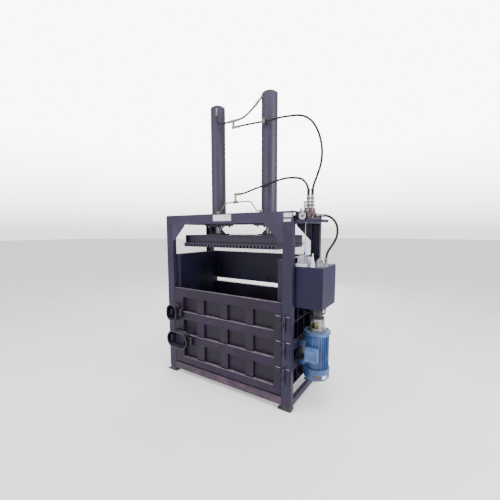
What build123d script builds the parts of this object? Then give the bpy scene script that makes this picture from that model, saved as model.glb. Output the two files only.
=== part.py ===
from build123d import *
from math import cos, radians, sin, sqrt, tan
import os

# Vertical recycling baler: a press frame with two hydraulic cylinders on top,
# a ram plate in a chamber with a front and a rear door, and a power unit on
# the right side. X to the right, Y to the rear, Z up. The sizes below are
# measured from the middle of the four posts, and each piece is then moved
# sideways so that the origin lies on the floor in the middle of the four
# anchor holes. All sizes in millimetres.

# Frame of rolled channels
frame_width = 1600.0
frame_depth = 740.0
frame_height = 1860.0
foot_height = 50.0
anchor_x = 68.0
channel_high = 100.0
channel_deep = 50.0
channel_web = 6.0
channel_flange = 8.0
channel_root = 7.0
base_high = 74.0
base_deep = 42.0
rail_high = 60.0
rail_deep = 40.0
gusset_leg = 185.0
gusset_thick = 8.0
gusset_tip = 18.0

# Chamber
chamber_side = 68.0
sheet = 6.0
floor_thick = 6.0
wall_drop = 440.0
rear_skin_in = 22.0
front_strip_in = 49.0
slot_over_door = 50.0
panel_rib_gap = 280.0
tooth_pitch = 140.0
tooth_reach = 14.0
tooth_wide = 12.0
floor_bar_wide = 90.0
floor_bar_high = 14.0

# Doors
door_gap = 4.0
door_bottom = 145.0
door_height = 883.0
rear_door_height = 864.0
door_depth = 42.0
rib_step = 12.0
door_skin = 6.0
door_wall = 5.0
door_design_width = 1392.0
stile_hinge = 80.0
pocket_widths = (194.0, 228.0, 225.0, 233.0)
post_rib_widths = (108.0, 96.0, 92.0)
bottom_rail = 77.0
pocket_heights = (183.0, 170.0, 172.0)
cross_rib_heights = (90.0, 93.0)

# Door hinges
hinge_heights = (340.0, 592.0, 832.0)
hinge_long = 150.0
knuckle_long = 48.0
knuckle_gap = 1.0
hinge_axis_in = 27.0
hinge_radius = 15.0
hinge_pin_radius = 8.0
hinge_fit = 0.05
leaf_thick = 6.0
leaf_wide = 58.0
axis_out = 19.0

# Hoop latches
latch_heights = {"lower": 432.0, "upper": 742.0}
hoop_longs = {"lower": 315.0, "upper": 162.0}
hoop_over_post = 40.0
hoop_high = 198.0
hoop_deep = 80.0
hoop_bar = 12.0
hoop_gap = 2.0
hoop_end = 14.0
hoop_pin_out = 24.0
hoop_pin_radius = 7.0
hoop_barrel_radius = 16.0
hoop_barrel_long = 60.0
ear_thick = 10.0
ear_radius = 15.0
mount_plate = 6.0
mount_spare = 22.0
lug_from_side = 64.0
lug_wide = 30.0
lug_high = 72.0
lug_out = 46.0

# Cylinders
cylinder_x = 340.0
cylinder_y = 35.0
barrel_radius = 66.0
bore_radius = 55.0
barrel_above = 1170.0
collar_radius = 73.0
collar_high = 36.0
cap_radius = 46.0
cap_high = 16.0
head_thick = 30.0
web_clearance = 6.0
flange_thick = 20.0
flange_wide = 284.0
flange_long = 200.0
bolt_x = 100.0
bolt_y = 72.0
bolt_radius = 8.0
bolt_hole_play = 0.5
bolt_head_radius = 13.0
bolt_head_high = 10.0
gland_lip = 12.0
gland_deep = 55.0
piston_play = 0.05
rod_radius = 35.0
stroke_spare = 147.0
piston_high = 60.0
port_radius = 15.0
port_reach = 95.0
port_angle = 60.0
top_port_up = 2.0
bottom_port_up = 35.0

# Ram plate
platen_drop = 252.0
platen_side_gap = 12.0
platen_front_gap = 31.0
platen_rear_gap = 18.0
bar_pitch = 42.0
bar_wide = 24.0
bar_deep = 32.0
platen_thick = 10.0
ram_high = 90.0
ram_deep = 45.0
ram_end_gap = 20.0
ram_front_step = 24.0
end_plate = 8.0
saddle_wide = 160.0
saddle_wall = 8.0
foot_plate_x = 190.0
foot_plate_y = 170.0
foot_plate_thick = 14.0
fin_high = 58.0
fin_reach = 52.0
fin_thick = 10.0

# Power unit
tank_wide = 257.0
tank_front = -320.0
tank_rear = 60.0
tank_bottom = 998.0
tank_high = 370.0
tank_wall = 4.0
tank_corner = 10.0
motor_out = 145.0
motor_y = -110.0
motor_bottom = 286.0
cowl_high = 112.0
motor_core = 100.0
fin_ring = 112.0
motor_fins = 28
motor_fin_thick = 4.0
stator_high = 337.0
motor_flange_radius = 125.0
motor_flange_high = 15.0
cowl_radius = 122.0
cowl_wall = 2.5
shaft_radius = 14.0
shaft_fit = 0.05
rotor_radius = 60.0
air_gap = 1.0
box_wide = 120.0
box_up = 199.0
box_high = 130.0
box_front = -278.0
bell_high = 115.0
bell_radius = 68.0
bell_wall = 9.0
bell_flange_radius = 84.0
bell_flange = 12.0
coupling_radius = 27.0
pump_wide = 88.0
pump_long = 80.0
pump_high = 118.0
pump_flange_radius = 66.0
pump_flange = 12.0

# Valve
shelf_long = 240.0
shelf_front_in = 25.0
shelf_deep = 195.0
shelf_drop = 77.0
shelf_thick = 6.0
shelf_lip = 26.0
valve_in = 6.0
valve_wide = 156.0
valve_low_high = 67.0
valve_high = 102.0
valve_step = 70.0
valve_front_in = 70.0
valve_deep = 90.0
valve_port_in = 45.0
work_port_places = (83.0, 120.0)
lever_in = 51.0
lever_up = 79.0
lever_long = 73.0
knob_radius = 13.0
gauge_in = 62.0
gauge_up = 32.0
gauge_radius = 30.0

# Hoses and pipes
hose_radius = 10.0
socket_radius = 14.0
pipe_radius = 7.0
drain_radius = 4.0

half_w = frame_width / 2
half_d = frame_depth / 2
post_x = half_w - channel_high / 2
post_inner = half_w - channel_high
toe_y = half_d - channel_deep
beam_bottom = frame_height - channel_high
beam_mid = frame_height - channel_high / 2
base_top = foot_height + base_high
floor_top = base_top + floor_thick
door_half = post_inner - door_gap
across = 2 * door_half / door_design_width
chamber_half = post_inner - chamber_side
wall_top = frame_height - wall_drop
slot_top = door_bottom + rear_door_height + slot_over_door
rear_inside = half_d - rear_skin_in
front_strip_y = front_strip_in - half_d
platen_front = front_strip_y + platen_front_gap
platen_rear = rear_inside - platen_rear_gap
ram_front = platen_front + ram_front_step
platen_half = chamber_half - platen_side_gap
ram_half = platen_half - ram_end_gap
platen_bottom = beam_bottom - platen_drop
hinge_axis_x = post_inner + hinge_axis_in
hoop_far_x = hoop_over_post - half_w
lug_x = (lug_from_side - half_w, lug_from_side + lug_wide - half_w)
barrel_top = frame_height + barrel_above
top_port_z = barrel_top + top_port_up
bottom_port_z = frame_height + bottom_port_up
tank_top = tank_bottom + tank_high
motor_x = half_w + motor_out
box_low = motor_bottom + box_up
shelf_top = frame_height - shelf_drop
shelf_front = shelf_front_in - half_d
valve_front = valve_front_in - half_d
valve_rear = valve_front + valve_deep
valve_y = valve_front + valve_port_in
valve_left = half_w + valve_in
valve_right = valve_left + valve_wide
valve_low_top = shelf_top + valve_low_high
valve_high_top = shelf_top + valve_high
valve_step_x = valve_left + valve_step
work_ports_x = (valve_left + work_port_places[0], valve_left + work_port_places[1])
lever_x = valve_left + lever_in
lever_pivot_z = shelf_top + lever_up
knob_z = lever_pivot_z + lever_long
gauge_x = valve_left + gauge_in
gauge_z = shelf_top + gauge_up

os.makedirs("parts", exist_ok=True)


def save(part, name):
    # Moves every solid to the anchor origin and writes the node's file
    shift = Location((anchor_x, 0, 0))
    solids = [Solid(solid.moved(shift).wrapped) for solid in part.solids()]
    node = solids[0] if len(solids) == 1 else Compound(children=solids)
    node.label = name
    export_step(node, "parts/" + name + ".step")


def channel_bar(plane, length, high, deep):
    # Rolled channel: the plane's X runs from the web to the flange toes,
    # its Z along the bar.
    with BuildPart() as bar:
        with BuildSketch(plane) as section:
            Rectangle(deep, high, align=(Align.MIN, Align.CENTER))
            with Locations((channel_web, 0)):
                Rectangle(deep, high - 2 * channel_flange, align=(Align.MIN, Align.CENTER),
                          mode=Mode.SUBTRACT)
            fillet(section.vertices().group_by(Axis.X)[1], channel_root)
        extrude(amount=length)
    return bar.part


def group(parts):
    # Like pieces that share one node stay separate solids.
    return Compound(children=[Solid(piece.solids()[0].wrapped) for piece in parts])


# Posts
for side_x, name_x in ((-1, "left"), (1, "right")):
    for side_y, name_y in ((-1, "front"), (1, "rear")):
        foot_of_post = Plane(origin=(side_x * post_x, side_y * half_d, foot_height),
                             x_dir=(0, -side_y, 0), z_dir=(0, 0, 1))
        post = channel_bar(foot_of_post, beam_bottom - foot_height, channel_high, channel_deep)
        save(post, "post_" + name_y + "_" + name_x)

# Top beams, laid over the posts
for side_y, name_y in ((-1, "front"), (1, "rear")):
    end_of_beam = Plane(origin=(-half_w, side_y * half_d, beam_mid),
                        x_dir=(0, -side_y, 0), z_dir=(1, 0, 0))
    beam = channel_bar(end_of_beam, frame_width, channel_high, channel_deep)
    save(beam, "top_" + name_y + "_beam")

# Cross beams between the top beams: one at each end, and a pair that
# holds each cylinder with its webs close to the barrel
web_x = barrel_radius + web_clearance
bolt_hole = bolt_radius + bolt_hole_play
cross_beams = []
for side_x in (-1, 1):
    end_of_beam = Plane(origin=(side_x * half_w, -toe_y, beam_mid),
                        x_dir=(-side_x, 0, 0), z_dir=(0, 1, 0))
    cross_beams.append(channel_bar(end_of_beam, 2 * toe_y, channel_high, channel_deep))
for centre_x in (-cylinder_x, cylinder_x):
    for side_x in (-1, 1):
        end_of_beam = Plane(origin=(centre_x + side_x * web_x, -toe_y, beam_mid),
                            x_dir=(side_x, 0, 0), z_dir=(0, 1, 0))
        with BuildPart() as bridge:
            add(channel_bar(end_of_beam, 2 * toe_y, channel_high, channel_deep))
            with BuildSketch(Plane.XY.offset(beam_bottom)):
                with Locations(*[(centre_x + side_x * bolt_x, cylinder_y + y)
                                 for y in (-bolt_y, bolt_y)]):
                    Circle(bolt_hole)
            extrude(amount=channel_flange, mode=Mode.SUBTRACT)
        cross_beams.append(bridge.part)
save(group(cross_beams), "top_cross_beams")

# Corner gussets, flush with the outer faces of posts and beams
gussets = []
for side_x in (-1, 1):
    for side_y in (-1, 1):
        corner = Plane(origin=(side_x * post_inner, side_y * half_d, beam_bottom),
                       x_dir=(-side_x, 0, 0), z_dir=(0, -side_y, 0))
        down = side_x * side_y
        with BuildPart() as gusset:
            with BuildSketch(corner):
                with BuildLine():
                    Polyline((0, 0), (gusset_leg, 0), (gusset_leg, down * gusset_tip),
                             (gusset_tip, down * gusset_leg), (0, down * gusset_leg), close=True)
                make_face()
            extrude(amount=gusset_thick)
        gussets.append(gusset.part)
save(group(gussets), "corner_gussets")

# Base beams between the posts, under the doors
for side_y, name_y in ((-1, "front"), (1, "rear")):
    end_of_beam = Plane(origin=(-post_inner, side_y * half_d, foot_height + base_high / 2),
                        x_dir=(0, -side_y, 0), z_dir=(1, 0, 0))
    beam = channel_bar(end_of_beam, 2 * post_inner, base_high, base_deep)
    save(beam, "base_" + name_y + "_beam")

# Side rails between the posts: one at the base of each side, and two on
# the right that carry the oil tank
tank_rail_heights = (tank_bottom + 50, tank_top - 50)
motor_rail_heights = (motor_bottom + 144, motor_bottom + 336)
side_rails = []
rail_places = [(-1, foot_height + rail_high / 2), (1, foot_height + rail_high / 2)]
rail_places += [(1, z) for z in tank_rail_heights]
for side_x, rail_z in rail_places:
    end_of_rail = Plane(origin=(side_x * half_w, -toe_y, rail_z),
                        x_dir=(-side_x, 0, 0), z_dir=(0, 1, 0))
    side_rails.append(channel_bar(end_of_rail, 2 * toe_y, rail_high, rail_deep))
save(group(side_rails), "side_rails")

# Motor bracket: two rails with a plate welded across them
bracket_plate = 12.0
bracket_y = (motor_y - 90, motor_y + 90)
bracket_z = (motor_rail_heights[0] - 26, motor_rail_heights[1] + 26)
with BuildPart() as motor_bracket:
    for rail_z in motor_rail_heights:
        end_of_rail = Plane(origin=(half_w, -toe_y, rail_z), x_dir=(-1, 0, 0), z_dir=(0, 1, 0))
        add(channel_bar(end_of_rail, 2 * toe_y, rail_high, rail_deep))
    with BuildSketch(Plane.YZ.offset(half_w)):
        with Locations(((bracket_y[0] + bracket_y[1]) / 2, (bracket_z[0] + bracket_z[1]) / 2)):
            RectangleRounded(bracket_y[1] - bracket_y[0], bracket_z[1] - bracket_z[0], 12)
    extrude(amount=bracket_plate)
save(motor_bracket.part, "motor_bracket")

# Feet: a box under each post on a floor plate, with an anchor ear on the
# same side of all four
foot_box_x = 92.0
foot_box_y = 80.0
foot_wall = 6.0
foot_plate = 10.0
ear_reach = 92.0
anchor_hole = 9.0
foot_y = half_d - foot_box_y / 2
feet = []
for side_x in (-1, 1):
    for side_y in (-1, 1):
        with BuildPart() as foot:
            with BuildSketch(Plane.XY):
                with Locations((side_x * post_x - ear_reach, side_y * foot_y)):
                    Rectangle(foot_box_x / 2 + ear_reach, foot_box_y,
                              align=(Align.MIN, Align.CENTER))
                with Locations((side_x * post_x - anchor_x, side_y * foot_y)):
                    Circle(anchor_hole, mode=Mode.SUBTRACT)
            extrude(amount=foot_plate)
            with BuildSketch(Plane.XY.offset(foot_plate)):
                with Locations((side_x * post_x, side_y * foot_y)):
                    RectangleRounded(foot_box_x, foot_box_y, 10)
                    RectangleRounded(foot_box_x - 2 * foot_wall, foot_box_y - 2 * foot_wall, 4,
                                     mode=Mode.SUBTRACT)
            extrude(amount=foot_height - foot_plate)
        feet.append(foot.part)
save(group(feet), "feet")

# Floor: a plate on the base beams, stiffened below, with bars on top that
# leave grooves for the straps
floor_front = -half_d + 25
floor_rear = rear_inside
bar_count = int((2 * chamber_half - floor_bar_wide) / tooth_pitch) + 1
with BuildPart() as floor_plate:
    with BuildSketch(Plane.XY.offset(base_top)):
        with Locations((0, (floor_front + floor_rear) / 2)):
            Rectangle(2 * post_inner, floor_rear - floor_front)
    extrude(amount=floor_thick)
    with BuildSketch(Plane.XY.offset(floor_top)):
        with Locations((0, (front_strip_y + rear_inside) / 2)):
            with GridLocations(tooth_pitch, 1, bar_count, 1):
                Rectangle(floor_bar_wide, rear_inside - front_strip_y - 20)
    extrude(amount=floor_bar_high)
    with BuildSketch(Plane.XY.offset(base_top)):
        with GridLocations(panel_rib_gap, 1, 5, 1):
            Rectangle(8, 2 * (half_d - base_deep))
    extrude(amount=-(base_high - channel_flange - 4))
save(floor_plate.part, "floor_plate")

# Side walls of the chamber: sheet with a front strip that stops the door,
# a folded top edge and stiffening ribs on the outside
wall_out = post_inner - chamber_half
for side_x, name_x in ((-1, "left"), (1, "right")):
    with BuildPart() as side_wall:
        inner_face = Plane(origin=(side_x * chamber_half, 0, 0), x_dir=(0, 1, 0),
                           z_dir=(side_x, 0, 0))
        with BuildSketch(Plane.XY.offset(floor_top)):
            with BuildLine():
                Polyline((side_x * chamber_half, rear_inside),
                         (side_x * chamber_half, front_strip_y - sheet),
                         (side_x * post_inner, front_strip_y - sheet),
                         (side_x * post_inner, front_strip_y),
                         (side_x * (chamber_half + sheet), front_strip_y),
                         (side_x * (chamber_half + sheet), rear_inside), close=True)
            make_face()
        extrude(amount=wall_top - floor_top)
        for flange_z in (wall_top - sheet, (wall_top + floor_top) / 2):
            with BuildSketch(Plane.XY.offset(flange_z)):
                with Locations((side_x * (chamber_half + wall_out / 2), 0)):
                    Rectangle(wall_out, 2 * toe_y)
            extrude(amount=sheet)
        for rib_y in (-160, 0, 160):
            with BuildSketch(Plane.XY.offset(floor_top)):
                with Locations((side_x * (chamber_half + wall_out / 2), rib_y)):
                    Rectangle(wall_out, 8)
            extrude(amount=wall_top - floor_top)
    save(side_wall.part, "side_wall_" + name_x)

# Rear panel above the rear door, with a row of teeth that hold the bale down
tooth_count = 9
tooth_low = slot_top + 26
tooth_high = 80.0
with BuildPart() as rear_panel:
    with BuildSketch(Plane.XZ.offset(-rear_inside)):
        with Locations((0, (wall_top + slot_top) / 2)):
            Rectangle(2 * post_inner, wall_top - slot_top)
    extrude(amount=-sheet)
    for flange_z in (slot_top, wall_top - sheet):
        with BuildSketch(Plane.XY.offset(flange_z)):
            with Locations((0, (rear_inside + half_d) / 2)):
                Rectangle(2 * post_inner, half_d - rear_inside)
        extrude(amount=sheet)
    with BuildSketch(Plane.XY.offset(slot_top)):
        with Locations((0, (rear_inside + half_d) / 2)):
            with GridLocations(panel_rib_gap, 1, 5, 1):
                Rectangle(8, half_d - rear_inside)
    extrude(amount=wall_top - slot_top)
    for index in range(tooth_count):
        tooth_x = (index - (tooth_count - 1) / 2) * tooth_pitch
        with BuildSketch(Plane.YZ.offset(tooth_x - tooth_wide / 2)):
            with BuildLine():
                Polyline((rear_inside, tooth_low), (rear_inside - tooth_reach, tooth_low + 8),
                         (rear_inside - tooth_reach, tooth_low + 22),
                         (rear_inside, tooth_low + tooth_high), close=True)
            make_face()
        extrude(amount=tooth_wide)
save(rear_panel.part, "rear_panel")


def spans(start, pockets, ribs):
    # Low and high edge of each pocket in turn
    edges = []
    low = start
    for index, width in enumerate(pockets):
        edges.append((low, low + width))
        low += width + (ribs[index] if index < len(ribs) else 0)
    return edges


pocket_x = [(door_half - across * (stile_hinge + high), door_half - across * (stile_hinge + low))
            for low, high in spans(0, pocket_widths[::-1], post_rib_widths[::-1])]
pocket_z = spans(door_bottom + bottom_rail, pocket_heights, cross_rib_heights)


def hinge_section(side, face_door, face_base, leaf_from, leaf_to, z_low, z_high, finger):
    # One hinge leaf, drawn in the XY plane: a flat leaf on its face, and a
    # finger that runs under the knuckle. side is the outward Y direction.
    axis_y = face_door + side * axis_out
    outer = face_door + side * leaf_thick
    with BuildPart() as leaf:
        with BuildSketch(Plane.XY.offset(z_low)):
            with BuildLine():
                Polyline((leaf_from, face_base), (leaf_to, face_base), (leaf_to, outer),
                         (leaf_from, outer), close=True)
            make_face()
        extrude(amount=z_high - z_low)
        for low, high in finger:
            with BuildSketch(Plane.XY.offset(low)):
                with BuildLine():
                    Polyline((leaf_to if leaf_to < hinge_axis_x else leaf_from, face_door + side),
                             (hinge_axis_x, face_door + side), (hinge_axis_x, outer),
                             (leaf_to if leaf_to < hinge_axis_x else leaf_from, outer), close=True)
                make_face()
                with Locations((hinge_axis_x, axis_y)):
                    Circle(hinge_radius)
                    Circle(hinge_pin_radius + hinge_fit, mode=Mode.SUBTRACT)
            extrude(amount=high - low)
    return leaf.part


def knuckles(centre):
    # The door has the middle knuckle, the post the upper and the lower one
    half = knuckle_long / 2
    door = [(centre - half, centre + half)]
    outer = hinge_long / 2
    base = [(centre - outer, centre - half - knuckle_gap), (centre + half + knuckle_gap, centre + outer)]
    return door, base


def door_weldment(side, face, height):
    # Sheet with a grid of hollow ribs in front of it. face is the outer
    # plane, side the outward Y direction. The upright ribs between the
    # pockets stand back behind the cross ribs, and all are open at the bottom.
    top = door_bottom + height
    inner = face - side * door_depth
    skin_face = inner + side * door_skin
    xs = [-door_half] + [edge for pair in pocket_x[::-1] for edge in pair] + [door_half]
    zs = [door_bottom] + [edge for pair in pocket_z for edge in pair] + [top]
    mouth = Plane(origin=(0, face, 0), x_dir=(1, 0, 0), z_dir=(0, side, 0))
    up = -side
    with BuildPart() as door:
        with BuildSketch(mouth):
            with Locations((0, up * (door_bottom + top) / 2)):
                Rectangle(2 * door_half, height)
        extrude(amount=-door_depth)
        with BuildSketch(mouth):
            for low_x, high_x in pocket_x:
                for low_z, high_z in pocket_z:
                    with Locations(((low_x + high_x) / 2, up * (low_z + high_z) / 2)):
                        Rectangle(high_x - low_x, high_z - low_z)
        extrude(amount=-(door_depth - door_skin), mode=Mode.SUBTRACT)
        hollow = Plane(origin=(0, face - side * door_wall, 0), x_dir=(1, 0, 0), z_dir=(0, side, 0))
        with BuildSketch(hollow):
            for low_x, high_x in zip(xs[::2], xs[1::2]):
                with Locations(((low_x + high_x) / 2, up * (door_bottom + top - door_wall) / 2)):
                    Rectangle(high_x - low_x - 2 * door_wall, height - door_wall)
            for low_z, high_z in zip(zs[::2], zs[1::2]):
                with Locations((0, up * (low_z + high_z) / 2)):
                    Rectangle(2 * door_half - 2 * door_wall, high_z - low_z - 2 * door_wall)
        extrude(amount=-(door_depth - door_skin - door_wall), mode=Mode.SUBTRACT)
        rows = [(up * (low_z + high_z) / 2, high_z - low_z) for low_z, high_z in pocket_z]
        with BuildSketch(mouth):
            for row_mid, row_high in rows:
                with Locations(((xs[1] + xs[-2]) / 2, row_mid)):
                    Rectangle(xs[-2] - xs[1], row_high)
        extrude(amount=-rib_step, mode=Mode.SUBTRACT)
        with BuildSketch(mouth.offset(-rib_step)):
            for row_mid, row_high in rows:
                for low_x, high_x in list(zip(xs[::2], xs[1::2]))[1:-1]:
                    with Locations(((low_x + high_x) / 2, row_mid)):
                        Rectangle(high_x - low_x, row_high)
        extrude(amount=-door_wall)
        for centre in hinge_heights:
            fingers = knuckles(centre)[0]
            add(hinge_section(side, face, face, door_half - leaf_wide, door_half,
                              centre - hinge_long / 2, centre + hinge_long / 2, fingers))
    return door.part


rear_face = rear_inside + door_depth
doors = (("front", -1, -half_d, -half_d, door_height),
         ("rear", 1, rear_face, half_d, rear_door_height))
post_leaf_x = (hinge_axis_x + hinge_radius + 3, half_w - 17)
post_leaves = []
hinge_pins = []
for name_y, side, face, face_post, height in doors:
    save(door_weldment(side, face, height), name_y + "_door")
    for centre in hinge_heights:
        post_leaves.append(hinge_section(side, face, face_post, post_leaf_x[0], post_leaf_x[1],
                                         centre - hinge_long / 2, centre + hinge_long / 2,
                                         knuckles(centre)[1]))
        with BuildPart() as hinge_pin:
            with BuildSketch(Plane.XY.offset(centre - hinge_long / 2)):
                with Locations((hinge_axis_x, face + side * axis_out)):
                    Circle(hinge_pin_radius)
            extrude(amount=hinge_long)
            with BuildSketch(Plane.XY.offset(centre + hinge_long / 2)):
                with Locations((hinge_axis_x, face + side * axis_out)):
                    Circle(hinge_pin_radius + 4)
            extrude(amount=5)
            chamfer(hinge_pin.edges().filter_by(GeomType.CIRCLE).group_by(Axis.Z)[-1], 2)
        hinge_pins.append(hinge_pin.part)
save(group(post_leaves), "post_hinge_leaves")

# Hoop latches: a flat bar bent to a closed loop. It swings on a pin on the
# door and drops over a lug on the left post.
def rounded_loop(long, high):
    # Outline with full round ends on its longer way
    with BuildSketch(Plane.XY) as outline:
        if long > high:
            SlotOverall(long, high)
        else:
            SlotOverall(high, long, rotation=90)
    return outline.sketch


post_lugs = []
for name_y, side, face, face_post, height in doors:
    pin_y = face + side * hoop_pin_out
    mounts = []
    for name_z, centre_z in latch_heights.items():
        hoop_long = hoop_longs[name_z]
        hoop_pin_x = hoop_far_x + hoop_long + hoop_end
        hoop_plane = Plane(origin=(hoop_pin_x, pin_y, centre_z), x_dir=(1, 0, 0),
                           z_dir=(0, side, 0))
        barrel_plane = Plane.XY.offset(centre_z - hoop_barrel_long / 2)
        with BuildPart() as hoop:
            with BuildSketch(hoop_plane.offset(hoop_gap - hoop_pin_out)):
                with Locations((-hoop_end - hoop_long / 2, 0)):
                    add(rounded_loop(hoop_long, hoop_high))
                    add(rounded_loop(hoop_long - 2 * hoop_bar, hoop_high - 2 * hoop_bar),
                        mode=Mode.SUBTRACT)
            extrude(amount=hoop_deep)
            chamfer(hoop.faces().filter_by(hoop_plane).edges(), 2)
            with BuildSketch(barrel_plane):
                with Locations((hoop_pin_x, pin_y)):
                    Circle(hoop_barrel_radius)
                with Locations((hoop_pin_x - hoop_end / 2 - 3, pin_y)):
                    Rectangle(hoop_end + 6, 2 * hoop_barrel_radius - 8)
            extrude(amount=hoop_barrel_long)
            with BuildSketch(barrel_plane):
                with Locations((hoop_pin_x, pin_y)):
                    Circle(hoop_pin_radius + hinge_fit)
            extrude(amount=hoop_barrel_long, mode=Mode.SUBTRACT)
        save(hoop.part, name_y + "_latch_" + name_z)
        half = hoop_barrel_long / 2 + knuckle_gap + ear_thick
        with BuildPart() as mount:
            with BuildSketch(Plane.XY.offset(centre_z - half - mount_spare)):
                with Locations((hoop_pin_x + 7, face + side * mount_plate / 2)):
                    Rectangle(2 * ear_radius + 6, mount_plate)
            extrude(amount=2 * (half + mount_spare))
            for ear_z in (centre_z - half, centre_z + half - ear_thick):
                with BuildSketch(Plane.XY.offset(ear_z)):
                    with Locations((hoop_pin_x, pin_y)):
                        Circle(ear_radius)
                    with Locations((hoop_pin_x, face + side * hoop_pin_out / 2)):
                        Rectangle(2 * ear_radius, hoop_pin_out)
                extrude(amount=ear_thick)
            with BuildSketch(Plane.XY.offset(centre_z - half - 4)):
                with Locations((hoop_pin_x, pin_y)):
                    Circle(hoop_pin_radius)
            extrude(amount=2 * half + 8)
        mounts.append(mount.part)
        lug_end = face + side * lug_out
        with BuildPart() as lug:
            with BuildSketch(Plane.XY.offset(centre_z - lug_high / 2)):
                with BuildLine():
                    Polyline((lug_x[0], face_post), (lug_x[0], lug_end - side * 8),
                             (lug_x[0] + 6, lug_end), (lug_x[1] - 8, lug_end),
                             (lug_x[1], lug_end - side * 12), (lug_x[1], face_post), close=True)
                make_face()
            extrude(amount=lug_high)
        post_lugs.append(lug.part)
    save(group(mounts), name_y + "_latch_mounts")
save(group(post_lugs), "post_latch_lugs")
save(group(hinge_pins), "hinge_pins")

# Cylinders: tube with a square flange under the bridge beams, a collar and
# a welded cap on top, and a port boss at each end
flange_bottom = beam_bottom - flange_thick
gland_top = flange_bottom + gland_deep
bore_top = barrel_top + collar_high + cap_high - head_thick
for side_x, name_x in ((-1, "left"), (1, "right")):
    centre_x = side_x * cylinder_x
    port_x = cos(radians(port_angle)) * -side_x
    port_y = -sin(radians(port_angle))
    with BuildPart() as cylinder:
        with BuildSketch(Plane.XZ.offset(-cylinder_y)):
            with BuildLine():
                Polyline((centre_x + bore_radius, flange_bottom),
                         (centre_x + barrel_radius, flange_bottom),
                         (centre_x + barrel_radius, barrel_top),
                         (centre_x + collar_radius, barrel_top),
                         (centre_x + collar_radius, barrel_top + collar_high - 6),
                         (centre_x + collar_radius - 6, barrel_top + collar_high),
                         (centre_x + cap_radius, barrel_top + collar_high),
                         (centre_x + cap_radius - 3, barrel_top + collar_high + cap_high),
                         (centre_x, barrel_top + collar_high + cap_high),
                         (centre_x, bore_top), (centre_x + bore_radius, bore_top), close=True)
            make_face()
        revolve(axis=Axis((centre_x, cylinder_y, 0), (0, 0, 1)))
        with BuildSketch(Plane.XY.offset(flange_bottom)):
            with Locations((centre_x, cylinder_y)):
                RectangleRounded(flange_wide, flange_long, 16)
                Circle(bore_radius + 5, mode=Mode.SUBTRACT)
                with GridLocations(2 * bolt_x, 2 * bolt_y, 2, 2):
                    Circle(bolt_hole, mode=Mode.SUBTRACT)
        extrude(amount=flange_thick)
        for port_z in (bottom_port_z, top_port_z):
            start = bore_radius + 3
            port = Plane(origin=(centre_x + port_x * start, cylinder_y + port_y * start, port_z),
                         x_dir=(0, 0, 1), z_dir=(port_x, port_y, 0))
            with BuildSketch(port):
                Circle(port_radius)
            extrude(amount=port_reach - 14 - start)
        with BuildSketch(Plane.XY.offset(barrel_top + collar_high + cap_high)):
            with Locations((centre_x, cylinder_y)):
                RegularPolygon(10, 6)
        extrude(amount=10)
    save(cylinder.part, "cylinder_" + name_x)

# Rod glands, screwed into the lower end of each tube
glands = []
for side_x in (-1, 1):
    centre_x = side_x * cylinder_x
    with BuildPart() as gland:
        with BuildSketch(Plane.XZ.offset(-cylinder_y)):
            with BuildLine():
                Polyline((centre_x + rod_radius + piston_play, flange_bottom - gland_lip),
                         (centre_x + barrel_radius - 4, flange_bottom - gland_lip),
                         (centre_x + barrel_radius, flange_bottom - gland_lip + 4),
                         (centre_x + barrel_radius, flange_bottom),
                         (centre_x + bore_radius - piston_play, flange_bottom),
                         (centre_x + bore_radius - piston_play, gland_top),
                         (centre_x + rod_radius + piston_play, gland_top), close=True)
            make_face()
        revolve(axis=Axis((centre_x, cylinder_y, 0), (0, 0, 1)))
    glands.append(gland.part)
save(group(glands), "rod_glands")

# Flange bolts: head on the beam's lower flange, nut under the cylinder's
flange_bolts = []
for centre_x in (-cylinder_x, cylinder_x):
    for place_x in (-bolt_x, bolt_x):
        for place_y in (-bolt_y, bolt_y):
            place = (centre_x + place_x, cylinder_y + place_y)
            low = flange_bottom - 13
            with BuildPart() as bolt:
                with BuildSketch(Plane.XY.offset(beam_bottom + channel_flange)):
                    with Locations(place):
                        RegularPolygon(bolt_head_radius, 6)
                extrude(amount=bolt_head_high)
                with BuildSketch(Plane.XY.offset(low)):
                    with Locations(place):
                        RegularPolygon(bolt_head_radius, 6)
                extrude(amount=flange_bottom - low)
                with BuildSketch(Plane.XY.offset(low - 6)):
                    with Locations(place):
                        Circle(bolt_radius)
                extrude(amount=beam_bottom + channel_flange - low + 6)
            flange_bolts.append(bolt.part)
save(group(flange_bolts), "flange_bolts")

# Piston rods: rod, piston, foot plate and four fins in one welded piece
platen_top = platen_bottom + bar_deep + platen_thick
ram_top = platen_top + ram_high
stroke = bore_top - gland_top - piston_high - stroke_spare
piston_low = gland_top + stroke + 10
for side_x, name_x in ((-1, "left"), (1, "right")):
    centre_x = side_x * cylinder_x
    with BuildPart() as rod:
        with BuildSketch(Plane.XY.offset(ram_top)):
            with Locations((centre_x, cylinder_y)):
                RectangleRounded(foot_plate_x, foot_plate_y, 12)
        extrude(amount=foot_plate_thick)
        with BuildSketch(Plane.XY.offset(ram_top)):
            with Locations((centre_x, cylinder_y)):
                Circle(rod_radius)
        extrude(amount=piston_low - ram_top)
        with BuildSketch(Plane.XY.offset(piston_low)):
            with Locations((centre_x, cylinder_y)):
                Circle(bore_radius - piston_play)
        extrude(amount=piston_high)
        fin_foot = ram_top + foot_plate_thick
        for toward in (-1, 1):
            inner = centre_x + toward * (rod_radius - 4)
            outer = centre_x + toward * (rod_radius + fin_reach)
            with BuildSketch(Plane.XZ.offset(-cylinder_y - fin_thick / 2)):
                with BuildLine():
                    Polyline((inner, fin_foot), (outer, fin_foot), (outer, fin_foot + 8),
                             (inner, fin_foot + fin_high), close=True)
                make_face()
            extrude(amount=fin_thick)
    save(rod.part, "piston_rod_" + name_x)

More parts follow.
